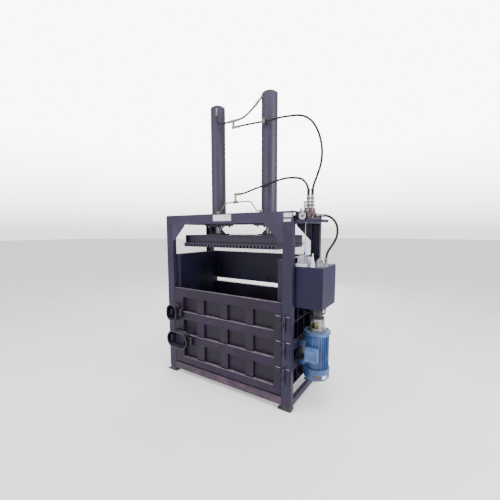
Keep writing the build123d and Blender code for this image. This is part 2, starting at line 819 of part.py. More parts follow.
# Ram: channels with their open side out, end plates, and a box section
# under each rod
ram_rear = platen_rear
ram_web = (ram_front + ram_deep, ram_rear - ram_deep)
with BuildPart() as platen_frame:
    for web_y, out in ((ram_web[0], -1), (ram_web[1], 1)):
        end_of_bar = Plane(origin=(-ram_half, web_y, platen_top + ram_high / 2),
                           x_dir=(0, out, 0), z_dir=(1, 0, 0))
        add(channel_bar(end_of_bar, 2 * ram_half, ram_high, ram_deep))
    with BuildSketch(Plane.XY.offset(platen_top)):
        with Locations((0, (ram_front + ram_rear) / 2)):
            with GridLocations(2 * ram_half - end_plate, 1, 2, 1):
                Rectangle(end_plate, ram_rear - ram_front)
        with Locations((0, (ram_web[0] + ram_web[1]) / 2)):
            Rectangle(end_plate, ram_web[1] - ram_web[0])
    extrude(amount=ram_high)
    with BuildSketch(Plane.XZ.offset(-ram_web[0])):
        for centre_x in (-cylinder_x, cylinder_x):
            with Locations((centre_x, platen_top + ram_high / 2)):
                Rectangle(saddle_wide, ram_high)
                Rectangle(saddle_wide - 2 * saddle_wall, ram_high - 2 * saddle_wall,
                          mode=Mode.SUBTRACT)
    extrude(amount=-(ram_web[1] - ram_web[0]))
save(platen_frame.part, "platen_frame")

# Pressing face: plate with bars, the grooves between them let straps through
bars = int((2 * platen_half - bar_wide) / bar_pitch) + 1
with BuildPart() as platen_face:
    with BuildSketch(Plane.XY.offset(platen_top)):
        with Locations((0, (platen_front + platen_rear) / 2)):
            Rectangle(2 * platen_half, platen_rear - platen_front)
    extrude(amount=-platen_thick)
    with BuildSketch(Plane.XY.offset(platen_bottom)):
        with Locations((0, (platen_front + platen_rear) / 2)):
            with GridLocations(bar_pitch, 1, bars, 1):
                Rectangle(bar_wide, platen_rear - platen_front)
    extrude(amount=bar_deep)
save(platen_face.part, "platen_face")

# Oil tank: a folded and welded box on the right side
tank_mid = (half_w + tank_wide / 2, (tank_front + tank_rear) / 2)
breather_place = (half_w + 93, -292.0)
breather_radius = 15.0
filter_place = (half_w + 203, -250.0)
filter_radius = 33.0
filter_bowl = 27.0
tank_port = (motor_x + 71, motor_y)
suction_radius = 9.0
with BuildPart() as tank:
    with BuildSketch(Plane.XY.offset(tank_bottom)):
        with Locations(tank_mid):
            RectangleRounded(tank_wide, tank_rear - tank_front, tank_corner)
    extrude(amount=tank_top - tank_bottom)
    with BuildSketch(Plane.XY.offset(tank_bottom + tank_wall)):
        with Locations(tank_mid):
            RectangleRounded(tank_wide - 2 * tank_wall, tank_rear - tank_front - 2 * tank_wall,
                             tank_corner - tank_wall)
    extrude(amount=tank_top - tank_bottom - 2 * tank_wall, mode=Mode.SUBTRACT)
    with BuildSketch(Plane.XY.offset(tank_top)):
        with Locations(filter_place):
            Circle(filter_bowl + 1)
    extrude(amount=-tank_wall, mode=Mode.SUBTRACT)
    with BuildSketch(Plane.XY.offset(tank_bottom)):
        with Locations((half_w + tank_wide - 30, tank_rear - 30)):
            RegularPolygon(11, 6)
    extrude(amount=-12)
save(tank.part, "oil_tank")

# Filler cover with a low step in front, where the breather stands
cover_long = 103.0
cover_step = tank_top + 26
cover_top = tank_top + 84
with BuildPart() as filler_cover:
    with BuildSketch(Plane.YZ.offset(half_w + 2)):
        with BuildLine():
            Polyline((-312, tank_top), (-312, cover_step), (-275, cover_step),
                     (-266, cover_top - 6), (-258, cover_top), (-196, cover_top),
                     (-188, cover_top - 10), (-184, tank_top), close=True)
        make_face()
    extrude(amount=cover_long)
    chamfer(filler_cover.edges().filter_by(Axis.X).group_by(Axis.Z)[-1], 3)
save(filler_cover.part, "filler_cover")

# Filler funnel
funnel_place = (half_w + 151, -285.0)
with BuildPart() as funnel:
    with BuildSketch(Plane.XZ.offset(-funnel_place[1])):
        with BuildLine():
            Polyline((funnel_place[0], tank_top), (funnel_place[0] + 24, tank_top),
                     (funnel_place[0] + 24, tank_top + 6), (funnel_place[0] + 21, tank_top + 10),
                     (funnel_place[0] + 5, tank_top + 104), (funnel_place[0] + 3, tank_top + 122),
                     (funnel_place[0], tank_top + 122), close=True)
        make_face()
    revolve(axis=Axis((funnel_place[0], funnel_place[1], 0), (0, 0, 1)))
save(funnel.part, "filler_funnel")

# Air breather: a capped can on the step of the filler cover
with BuildPart() as breather:
    with BuildSketch(Plane.XZ.offset(-breather_place[1])):
        with BuildLine():
            Polyline((breather_place[0], cover_step), (breather_place[0] + 11, cover_step),
                     (breather_place[0] + 11, cover_step + 14),
                     (breather_place[0] + breather_radius, cover_step + 18),
                     (breather_place[0] + breather_radius, cover_step + 64),
                     (breather_place[0] + 11, cover_step + 72),
                     (breather_place[0], cover_step + 74), close=True)
        make_face()
    revolve(axis=Axis((breather_place[0], breather_place[1], 0), (0, 0, 1)))
save(breather.part, "air_breather")

# Return filter: head on the tank, bowl inside it, and an inlet where the
# return hose comes down
inlet_place = (filter_place[0] + 40, -206.0)
inlet_top = tank_top + 36
with BuildPart() as return_filter:
    with BuildSketch(Plane.XY.offset(tank_top)):
        with Locations(filter_place):
            Circle(filter_radius)
    extrude(amount=22)
    with BuildSketch(Plane.XY.offset(tank_top + 22)):
        with Locations(filter_place):
            Circle(filter_radius - 5)
    extrude(amount=44)
    with BuildSketch(Plane.XY.offset(tank_top + 66)):
        with Locations(filter_place):
            RegularPolygon(17, 6)
    extrude(amount=12)
    with BuildSketch(Plane.XY.offset(tank_top)):
        with Locations(filter_place):
            Circle(filter_bowl)
    extrude(amount=-150)
    with BuildSketch(Plane.XY.offset(tank_top)):
        with Locations(inlet_place):
            Circle(14)
        with BuildLine():
            Polyline((filter_place[0] + 20, filter_place[1] + 12),
                     (inlet_place[0] + 10, inlet_place[1] - 10),
                     (inlet_place[0] - 10, inlet_place[1] + 10),
                     (filter_place[0], filter_place[1] + 28), close=True)
        make_face()
    extrude(amount=18)
    with BuildSketch(Plane.XY.offset(tank_top + 18)):
        with Locations(inlet_place):
            Circle(socket_radius)
    extrude(amount=inlet_top - tank_top - 18)
save(return_filter.part, "return_filter")

# Electric motor, upright, fan at the bottom
stator_low = motor_bottom + cowl_high
stator_top = stator_low + stator_high
flange_top = stator_top + motor_flange_high
motor_axis = Axis((motor_x, motor_y, 0), (0, 0, 1))
foot_tip = half_w + bracket_plate
with BuildPart() as motor_housing:
    with BuildSketch(Plane.XY.offset(stator_low)):
        with Locations((motor_x, motor_y)):
            Circle(motor_core)
            with PolarLocations((motor_core + fin_ring) / 2 - 2, motor_fins):
                Rectangle(fin_ring - motor_core + 4, motor_fin_thick)
    extrude(amount=stator_high - 26)
    with BuildSketch(Plane.XZ.offset(fin_ring - motor_y)):
        with Locations((motor_x, box_low + box_high / 2)):
            Rectangle(box_wide - 16, box_high - 16)
    extrude(amount=-fin_ring)
    with BuildSketch(Plane.XZ.offset(-motor_y)):
        with BuildLine():
            Polyline((motor_x, stator_top - 30), (motor_x + motor_core + 6, stator_top - 30),
                     (motor_x + motor_core + 14, stator_top - 14),
                     (motor_x + motor_flange_radius, stator_top - 8),
                     (motor_x + motor_flange_radius, flange_top - 3),
                     (motor_x + motor_flange_radius - 3, flange_top),
                     (motor_x, flange_top), close=True)
        make_face()
    revolve(axis=motor_axis)
    for foot_z in motor_rail_heights:
        with BuildSketch(Plane.XY.offset(foot_z - 22)):
            with BuildLine():
                Polyline((foot_tip, motor_y - 84), (foot_tip + 16, motor_y - 84),
                         (foot_tip + 20, motor_y - 66), (motor_x - 74, motor_y - 60),
                         (motor_x - 74, motor_y + 60), (foot_tip + 20, motor_y + 66),
                         (foot_tip + 16, motor_y + 84), (foot_tip, motor_y + 84), close=True)
            make_face()
        extrude(amount=44)
    with BuildSketch(Plane.XY.offset(stator_low)):
        with Locations((motor_x, motor_y)):
            Circle(rotor_radius + air_gap)
    extrude(amount=stator_high - 30, mode=Mode.SUBTRACT)
    with BuildSketch(Plane.XY.offset(stator_low)):
        with Locations((motor_x, motor_y)):
            Circle(rotor_radius + air_gap)
            Circle(shaft_radius + shaft_fit, mode=Mode.SUBTRACT)
    extrude(amount=16)
    with BuildSketch(Plane.XY.offset(stator_top - 30)):
        with Locations((motor_x, motor_y)):
            Circle(shaft_radius + shaft_fit)
    extrude(amount=flange_top - stator_top + 30, mode=Mode.SUBTRACT)
save(motor_housing.part, "motor_housing")

# Fan cowl: a pressed cap with a slotted end
with BuildPart() as fan_cowl:
    with BuildSketch(Plane.XZ.offset(-motor_y)):
        with BuildLine():
            Polyline((motor_x, motor_bottom), (motor_x + cowl_radius - 24, motor_bottom),
                     (motor_x + cowl_radius - 6, motor_bottom + 10),
                     (motor_x + cowl_radius, motor_bottom + 26),
                     (motor_x + cowl_radius, stator_low), (motor_x + fin_ring + 1, stator_low),
                     (motor_x + fin_ring + 1, stator_low - 4),
                     (motor_x + cowl_radius - cowl_wall, stator_low - 4),
                     (motor_x + cowl_radius - cowl_wall, motor_bottom + 27),
                     (motor_x + cowl_radius - cowl_wall - 6, motor_bottom + 12),
                     (motor_x + cowl_radius - 25, motor_bottom + cowl_wall),
                     (motor_x, motor_bottom + cowl_wall), close=True)
        make_face()
    revolve(axis=motor_axis)
    with BuildSketch(Plane.XY.offset(stator_low)):
        with Locations((motor_x, motor_y)):
            Circle(cowl_radius - 1)
            Circle(motor_core - 6, mode=Mode.SUBTRACT)
    extrude(amount=-4)
    with BuildSketch(Plane.XY.offset(motor_bottom)):
        with Locations((motor_x, motor_y)):
            with PolarLocations(62, 12):
                SlotOverall(56, 12)
    extrude(amount=cowl_wall, mode=Mode.SUBTRACT)
save(fan_cowl.part, "fan_cowl")

# Rotor: shaft with core, fan and coupling, all turning together
bell_top = flange_top + bell_high
shaft_low = motor_bottom + 22
shaft_top = bell_top - 22
fan_low = motor_bottom + 30
fan_high = 46.0
with BuildPart() as motor_rotor:
    with BuildSketch(Plane.XY.offset(shaft_low)):
        with Locations((motor_x, motor_y)):
            Circle(shaft_radius)
    extrude(amount=shaft_top - shaft_low)
    with BuildSketch(Plane.XY.offset(stator_low + 60)):
        with Locations((motor_x, motor_y)):
            Circle(rotor_radius)
    extrude(amount=stator_high - 140)
    with BuildSketch(Plane.XY.offset(fan_low)):
        with Locations((motor_x, motor_y)):
            Circle(26)
            with PolarLocations(56, 9):
                Rectangle(66, 4)
    extrude(amount=fan_high)
    with BuildSketch(Plane.XY.offset(flange_top + 24)):
        with Locations((motor_x, motor_y)):
            Circle(coupling_radius)
    extrude(amount=bell_high - 48)
save(motor_rotor.part, "motor_rotor")

# Terminal box on the front of the motor
with BuildPart() as terminal_box:
    with BuildSketch(Plane.XZ.offset(-box_front)):
        with Locations((motor_x, box_low + box_high / 2)):
            RectangleRounded(box_wide, box_high, 12)
    extrude(amount=-(motor_y - fin_ring - box_front))
    fillet(terminal_box.faces().sort_by(Axis.Y)[0].edges(), 5)
save(terminal_box.part, "terminal_box")

# Bell housing between motor and pump, with two windows on the coupling
with BuildPart() as bell_housing:
    with BuildSketch(Plane.XZ.offset(-motor_y)):
        with BuildLine():
            Polyline((motor_x + bell_radius - bell_wall, flange_top),
                     (motor_x + bell_flange_radius, flange_top),
                     (motor_x + bell_flange_radius, flange_top + bell_flange),
                     (motor_x + bell_radius + 3, flange_top + bell_flange),
                     (motor_x + bell_radius, flange_top + bell_flange + 4),
                     (motor_x + bell_radius - 3, bell_top),
                     (motor_x + 34, bell_top), (motor_x + 34, bell_top - 10),
                     (motor_x + bell_radius - bell_wall - 3, bell_top - 10), close=True)
        make_face()
    revolve(axis=motor_axis)
    with BuildSketch(Plane.XZ.offset(-motor_y)):
        with Locations((motor_x - 6, flange_top + bell_high / 2 + 2)):
            RectangleRounded(74, 62, 12)
    extrude(amount=bell_flange_radius + 10, both=True, mode=Mode.SUBTRACT)
save(bell_housing.part, "bell_housing")

# Gear pump on top of the bell housing
with BuildPart() as gear_pump:
    with BuildSketch(Plane.XY.offset(bell_top)):
        with Locations((motor_x, motor_y)):
            Circle(pump_flange_radius)
    extrude(amount=pump_flange)
    with BuildSketch(Plane.XY.offset(bell_top + pump_flange)):
        with Locations((motor_x, motor_y)):
            RectangleRounded(pump_wide, pump_long, 18)
    extrude(amount=pump_high - pump_flange)
    with BuildSketch(Plane.XY.offset(bell_top + 66)):
        with Locations((motor_x, motor_y)):
            RectangleRounded(pump_wide + 6, pump_long + 6, 20)
    extrude(amount=6)
save(gear_pump.part, "gear_pump")

# Suction pipe from the tank's floor to the side of the pump
suction_z = bell_top + 46
suction_bend = 22.0
with BuildPart() as suction_pipe:
    with BuildLine() as suction_path:
        FilletPolyline((tank_port[0], tank_port[1], tank_bottom),
                       (tank_port[0], tank_port[1], suction_z),
                       (motor_x + pump_wide / 2, tank_port[1], suction_z), radius=suction_bend)
    with BuildSketch(Plane(origin=(tank_port[0], tank_port[1], tank_bottom), z_dir=(0, 0, -1))):
        Circle(suction_radius)
    sweep()
    with BuildSketch(Plane.XY.offset(tank_bottom)):
        with Locations(tank_port):
            RegularPolygon(16, 6)
    extrude(amount=-14)
save(suction_pipe.part, "suction_pipe")

# Valve shelf: a folded plate on the side of the frame
with BuildPart() as valve_shelf:
    with BuildSketch(Plane.XY.offset(shelf_top)):
        with Locations((half_w + shelf_long / 2, shelf_front + shelf_deep / 2)):
            Rectangle(shelf_long, shelf_deep)
    extrude(amount=-shelf_thick)
    with BuildSketch(Plane.XY.offset(shelf_top - shelf_thick)):
        with Locations((half_w + shelf_long / 2, shelf_front + shelf_thick / 2)):
            Rectangle(shelf_long, shelf_thick)
        with Locations((half_w + shelf_long - shelf_thick / 2, shelf_front + shelf_deep / 2)):
            Rectangle(shelf_thick, shelf_deep)
    extrude(amount=-(shelf_lip - shelf_thick))
save(valve_shelf.part, "valve_shelf")

# Directional valve: a cast body, stepped and tapered, with its ports on top
# and a spool housing through it
with BuildPart() as valve_block:
    with BuildSketch(Plane.XZ.offset(-valve_front)) as valve_shape:
        with BuildLine():
            Polyline((valve_left, shelf_top), (valve_left, shelf_top + 26),
                     (valve_left + 24, valve_low_top), (valve_step_x, valve_low_top),
                     (valve_step_x, valve_high_top), (valve_right - 24, valve_high_top),
                     (valve_right - 24, valve_high_top - 26), (valve_right, shelf_top + 34),
                     (valve_right, shelf_top), close=True)
        make_face()
    extrude(amount=-(valve_rear - valve_front))
    fillet(valve_block.edges().filter_by(Axis.Y).group_by(Axis.Z)[-1], 6)
    with BuildSketch(Plane.XZ.offset(-valve_front)):
        with Locations((valve_right - 40, gauge_z + 4)):
            Circle(17)
    extrude(amount=14)
    with BuildSketch(Plane.YZ.offset(valve_left)):
        with Locations((valve_y, shelf_top + 14)):
            Circle(13)
    extrude(amount=-6)
    with BuildSketch(Plane.YZ.offset(valve_right + 4)):
        with Locations((valve_y, gauge_z + 2)):
            Circle(19)
    extrude(amount=-30)
    for ear_x in (lever_x - 11, lever_x + 7):
        with BuildSketch(Plane.YZ.offset(ear_x)):
            with BuildLine():
                Polyline((valve_y - 12, valve_low_top), (valve_y + 12, valve_low_top),
                         (valve_y + 12, lever_pivot_z), (valve_y - 12, lever_pivot_z), close=True)
            make_face()
            with Locations((valve_y, lever_pivot_z)):
                Circle(12)
        extrude(amount=4)
    with BuildSketch(Plane.YZ.offset(lever_x - 7)):
        with Locations((valve_y, lever_pivot_z)):
            Circle(4)
    extrude(amount=14)
save(valve_block.part, "valve_block")

# Hand lever with a ball knob, pivoting on the pin between the valve's ears
with BuildPart() as valve_lever:
    with BuildSketch(Plane.YZ.offset(lever_x - 6)):
        with Locations((valve_y, lever_pivot_z)):
            Circle(10)
    extrude(amount=12)
    with BuildSketch(Plane.XY.offset(lever_pivot_z)):
        with Locations((lever_x, valve_y)):
            Circle(5)
    extrude(amount=knob_z - lever_pivot_z)
    with BuildSketch(Plane.XZ.offset(-valve_y)):
        with BuildLine():
            CenterArc((lever_x, knob_z), knob_radius, -90, 180)
            Line((lever_x, knob_z + knob_radius), (lever_x, knob_z - knob_radius))
        make_face()
    revolve(axis=Axis((lever_x, valve_y, 0), (0, 0, 1)))
    with BuildSketch(Plane.YZ.offset(lever_x - 6)):
        with Locations((valve_y, lever_pivot_z)):
            Circle(4 + hinge_fit)
    extrude(amount=12, mode=Mode.SUBTRACT)
save(valve_lever.part, "valve_lever")

# Pressure gauge on the front of the valve
with BuildPart() as gauge:
    with BuildSketch(Plane.XZ.offset(-valve_front)):
        with Locations((gauge_x, gauge_z)):
            RegularPolygon(9, 6)
    extrude(amount=8)
    with BuildSketch(Plane.XZ.offset(-valve_front + 8)):
        with Locations((gauge_x, gauge_z)):
            Circle(gauge_radius - 2)
    extrude(amount=18)
    with BuildSketch(Plane.XZ.offset(-valve_front + 26)):
        with Locations((gauge_x, gauge_z)):
            Circle(gauge_radius)
    extrude(amount=7)
    with BuildSketch(Plane.XZ.offset(-valve_front + 33)):
        with Locations((gauge_x, gauge_z)):
            Circle(gauge_radius - 4)
    extrude(amount=-4, mode=Mode.SUBTRACT)
save(gauge.part, "pressure_gauge")


def bend_radii(points):
    # Each arc is as large as the two runs beside it allow
    radii = []
    for before, here, after in zip(points, points[1:], points[2:]):
        first = Vector(*here) - Vector(*before)
        second = Vector(*after) - Vector(*here)
        shorter = min(first.length, second.length)
        radii.append(0.45 * shorter / tan(radians(first.get_angle(second) / 2)))
    return radii


def tube(points, radius, radii):
    with BuildPart() as pipe:
        with BuildLine() as route:
            FilletPolyline(*points, radius=radii)
        with BuildSketch(Plane(origin=points[0], z_dir=Vector(*points[1]) - Vector(*points[0]))):
            Circle(radius)
        sweep()
    return pipe.part


def rod_between(start, end, radius, sides=0):
    # A straight turned or hexagonal piece from one point to another
    along = Vector(*end) - Vector(*start)
    with BuildPart() as piece:
        with BuildSketch(Plane(origin=start, z_dir=along)):
            if sides:
                RegularPolygon(radius, sides)
            else:
                Circle(radius)
        extrude(amount=along.length)
    return piece.part


def joined(pieces):
    with BuildPart() as body:
        for piece in pieces:
            add(piece)
    return body.part


# Places of the ports, worked out from the cylinders and the valve
port_out = (cos(radians(port_angle)) * port_reach, -sin(radians(port_angle)) * port_reach)
left_port = (-cylinder_x + port_out[0], cylinder_y + port_out[1])
right_port = (cylinder_x - port_out[0], cylinder_y + port_out[1])
elbow_radius = 13.0
socket_out = 22.0
upper_tee = (-42.0, -75.0, top_port_z - 176)
lower_tee = (-29.0, -62.0, frame_height + 140)
tee_half = 26.0
stem_radius = socket_radius - 1.5
upper_feed = (-4.0, upper_tee[1], upper_tee[2] - 68)
lower_feed = (10.0, lower_tee[1], lower_tee[2] + 85)
valve_out_z = valve_high_top + 111
crimp_low = valve_high_top + 75
return_out = (valve_right + 40, valve_y, gauge_z + 2)
slant = (-0.705, -0.085, -0.704)
link_hose_start = (right_port[0] + 42 * slant[0], right_port[1] + 42 * slant[1],
                   top_port_z + 42 * slant[2])

fittings = []
for side_x, port, port_z, outlet in (
        (-1, left_port, top_port_z, (left_port[0], left_port[1], top_port_z - socket_out)),
        (-1, left_port, bottom_port_z, (left_port[0] + socket_out, left_port[1], bottom_port_z)),
        (1, right_port, bottom_port_z, (right_port[0] - socket_out, right_port[1], bottom_port_z)),
        (1, right_port, top_port_z, link_hose_start)):
    centre = (port[0], port[1], port_z)
    inward = (cos(radians(port_angle)) * side_x, sin(radians(port_angle)), 0)
    seat = Vector(*centre) + Vector(*inward) * 14
    fittings.append(joined([
        rod_between((port[0], port[1], port_z - elbow_radius),
                    (port[0], port[1], port_z + elbow_radius), elbow_radius),
        rod_between(centre, seat, elbow_radius - 1),
        rod_between(centre, outlet, elbow_radius - 2)]))
upper_parts = [rod_between((upper_tee[0] - tee_half, upper_tee[1], upper_tee[2]),
                           (upper_tee[0] + tee_half, upper_tee[1], upper_tee[2]), socket_radius),
               rod_between(upper_tee, (upper_tee[0], upper_tee[1], upper_feed[2]), stem_radius),
               rod_between((upper_tee[0] - socket_radius, upper_tee[1], upper_feed[2]), upper_feed,
                           socket_radius)]
fittings.append(joined(upper_parts))
lower_parts = [rod_between((lower_tee[0] - tee_half, lower_tee[1], lower_tee[2]),
                           (lower_tee[0] + tee_half, lower_tee[1], lower_tee[2]), socket_radius),
               rod_between(lower_tee, (lower_tee[0], lower_tee[1], lower_feed[2]), stem_radius),
               rod_between((lower_tee[0] - socket_radius, lower_tee[1], lower_feed[2]), lower_feed,
                           socket_radius)]
fittings.append(joined(lower_parts))
for port_x in work_ports_x:
    stack = [rod_between((port_x, valve_y, valve_high_top), (port_x, valve_y, valve_high_top + 20),
                         16, 6),
             rod_between((port_x, valve_y, valve_high_top + 20), (port_x, valve_y, crimp_low), 12),
             rod_between((port_x, valve_y, crimp_low), (port_x, valve_y, valve_out_z), 14)]
    fittings.append(joined(stack))
side_of_valve = valve_right + 4
fittings.append(joined([rod_between((side_of_valve, valve_y, return_out[2]),
                                    (side_of_valve + 20, valve_y, return_out[2]), 16, 6),
                        rod_between((side_of_valve + 20, valve_y, return_out[2]), return_out,
                                    socket_radius)]))
save(group(fittings), "pipe_fittings")

# Rigid pipes from the lower tee to both cylinders
lower_left = [(left_port[0] + socket_out, left_port[1], bottom_port_z),
              (left_port[0] + socket_out + 14, left_port[1], bottom_port_z),
              (-180.0, -60.0, lower_tee[2] - 15),
              (-130.0, lower_tee[1], lower_tee[2]),
              (lower_tee[0] - tee_half, lower_tee[1], lower_tee[2])]
lower_right = [(lower_tee[0] + tee_half, lower_tee[1], lower_tee[2]),
               (166.0, lower_tee[1], lower_tee[2]),
               (202.0, -58.0, lower_tee[2] - 50),
               (236.0, right_port[1], bottom_port_z),
               (right_port[0] - socket_out, right_port[1], bottom_port_z)]
save(group([tube(lower_left, pipe_radius, bend_radii(lower_left)),
            tube(lower_right, pipe_radius, bend_radii(lower_right))]), "lower_link_pipes")

# Hoses, each a row of straight runs joined by arcs
upper_z = upper_tee[2]
feed_z = upper_feed[2]
low_z = lower_feed[2]
port_a, port_b = work_ports_x
hoses = {
    "hose_upper_left": [(left_port[0], left_port[1], top_port_z - socket_out),
                        (left_port[0], left_port[1], top_port_z - 84),
                        (left_port[0] + 31, left_port[1] - 6, top_port_z - 138),
                        (left_port[0] + 85, -63.0, upper_z + 6),
                        (left_port[0] + 157, upper_tee[1], upper_z),
                        (upper_tee[0] - tee_half, upper_tee[1], upper_z)],
    "hose_upper_right": [(upper_tee[0] + tee_half, upper_tee[1], upper_z),
                         (upper_tee[0] + 84, upper_tee[1], upper_z),
                         (upper_tee[0] + 146, -74.0, upper_z + 16),
                         (upper_tee[0] + 200, -68.0, upper_z + 50),
                         (link_hose_start[0] + 70 * slant[0], link_hose_start[1] + 70 * slant[1],
                          link_hose_start[2] + 70 * slant[2]),
                         link_hose_start],
    "hose_upper_feed": [upper_feed,
                        (upper_feed[0] + 104, upper_feed[1], feed_z),
                        (upper_feed[0] + 234, -74.0, feed_z - 4),
                        (port_b - 556, -72.0, feed_z - 12),
                        (port_b - 426, -76.0, feed_z - 8),
                        (port_b - 286, -98.0, feed_z - 26),
                        (port_b - 166, -138.0, feed_z - 56),
                        (port_b - 58, -184.0, feed_z - 126),
                        (port_b + 22, -220.0, feed_z - 238),
                        (port_b + 74, -246.0, valve_out_z + 409),
                        (port_b + 77, -256.0, valve_out_z + 266),
                        (port_b + 29, -256.0, valve_out_z + 134),
                        (port_b, valve_y, valve_out_z + 62),
                        (port_b, valve_y, valve_out_z)],
    "hose_lower_feed": [lower_feed,
                        (lower_feed[0] + 65, lower_feed[1], low_z),
                        (lower_feed[0] + 160, -62.0, low_z + 27),
                        (lower_feed[0] + 280, -68.0, low_z + 55),
                        (port_a - 469, -80.0, low_z + 81),
                        (port_a - 339, -108.0, low_z + 101),
                        (port_a - 234, -150.0, low_z + 99),
                        (port_a - 147, -192.0, low_z + 83),
                        (port_a - 84, -226.0, valve_out_z + 156),
                        (port_a - 32, -246.0, valve_out_z + 118),
                        (port_a, valve_y, valve_out_z + 58),
                        (port_a, valve_y, valve_out_z)],
    "hose_return": [return_out,
                    (return_out[0] + 47, valve_y, return_out[2]),
                    (return_out[0] + 90, -250.0, return_out[2] - 18),
                    (return_out[0] + 122, -240.0, return_out[2] - 51),
                    (return_out[0] + 141, -229.0, return_out[2] - 98),
                    (return_out[0] + 137, -217.0, return_out[2] - 173),
                    (inlet_place[0] + 67, -207.0, inlet_top + 178),
                    (inlet_place[0] + 27, -206.0, inlet_top + 123),
                    (inlet_place[0], inlet_place[1], inlet_top + 63),
                    (inlet_place[0], inlet_place[1], inlet_top)],
}
for name, points in hoses.items():
    radii = bend_radii(points)
    hose = tube(points, hose_radius, radii)
    length = hose.volume / (3.14159265 * hose_radius ** 2)
    print(name, "length", round(length), "radii", [round(r) for r in radii])
    save(hose, name)

# Drain tube from the valve shelf to the filler cover
drain_place = (half_w + 65, -250.0)
with BuildPart() as drain_pipe:
    with BuildSketch(Plane.XY.offset(cover_top)):
        with Locations(drain_place):
            Circle(drain_radius)
    extrude(amount=shelf_top - shelf_thick - cover_top)
    with BuildSketch(Plane.XY.offset(cover_top)):
        with Locations(drain_place):
            RegularPolygon(9, 6)
    extrude(amount=22)
    with BuildSketch(Plane.XY.offset(shelf_top - shelf_thick)):
        with Locations(drain_place):
            RegularPolygon(9, 6)
    extrude(amount=-14)
save(drain_pipe.part, "drain_pipe")
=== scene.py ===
import bmesh
import bpy
import math
from mathutils import Matrix, Vector


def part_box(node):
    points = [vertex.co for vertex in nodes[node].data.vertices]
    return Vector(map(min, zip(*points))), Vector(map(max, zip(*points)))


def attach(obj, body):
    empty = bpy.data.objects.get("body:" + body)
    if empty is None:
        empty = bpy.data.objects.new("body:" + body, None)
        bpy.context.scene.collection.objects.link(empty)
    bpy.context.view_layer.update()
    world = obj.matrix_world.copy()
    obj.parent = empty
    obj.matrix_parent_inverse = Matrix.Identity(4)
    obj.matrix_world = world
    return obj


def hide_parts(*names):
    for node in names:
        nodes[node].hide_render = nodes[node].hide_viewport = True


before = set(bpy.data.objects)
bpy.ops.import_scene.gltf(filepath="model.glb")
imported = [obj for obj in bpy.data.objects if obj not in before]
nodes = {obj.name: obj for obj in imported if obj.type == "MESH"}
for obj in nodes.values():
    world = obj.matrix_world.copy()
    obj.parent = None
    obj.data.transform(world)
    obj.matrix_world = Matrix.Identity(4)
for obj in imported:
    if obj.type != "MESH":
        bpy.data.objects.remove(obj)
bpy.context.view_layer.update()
scene = bpy.context.scene


# Press frame: posts, beams, rails and gussets of rolled steel, cut, welded
# and sprayed by hand with a blue grey alkyd enamel. Long soft patches show
# the passes of the gun, and what faces up has gathered a pale dust.
def colour(code):
    # An sRGB hex value as the linear colour that a socket takes
    parts = [int(code[i:i + 2], 16) / 255 for i in (1, 3, 5)]
    linear = [p / 12.92 if p <= 0.04045 else ((p + 0.055) / 1.055) ** 2.4 for p in parts]
    return (linear[0], linear[1], linear[2], 1.0)


def node(material, kind, settings=(), inputs=(), links=()):
    made = material.node_tree.nodes.new(kind)
    for key, value in dict(settings).items():
        setattr(made, key, value)
    for key, value in dict(inputs).items():
        made.inputs[key].default_value = value
    for key, source in dict(links).items():
        material.node_tree.links.new(source, made.inputs[key])
    return made


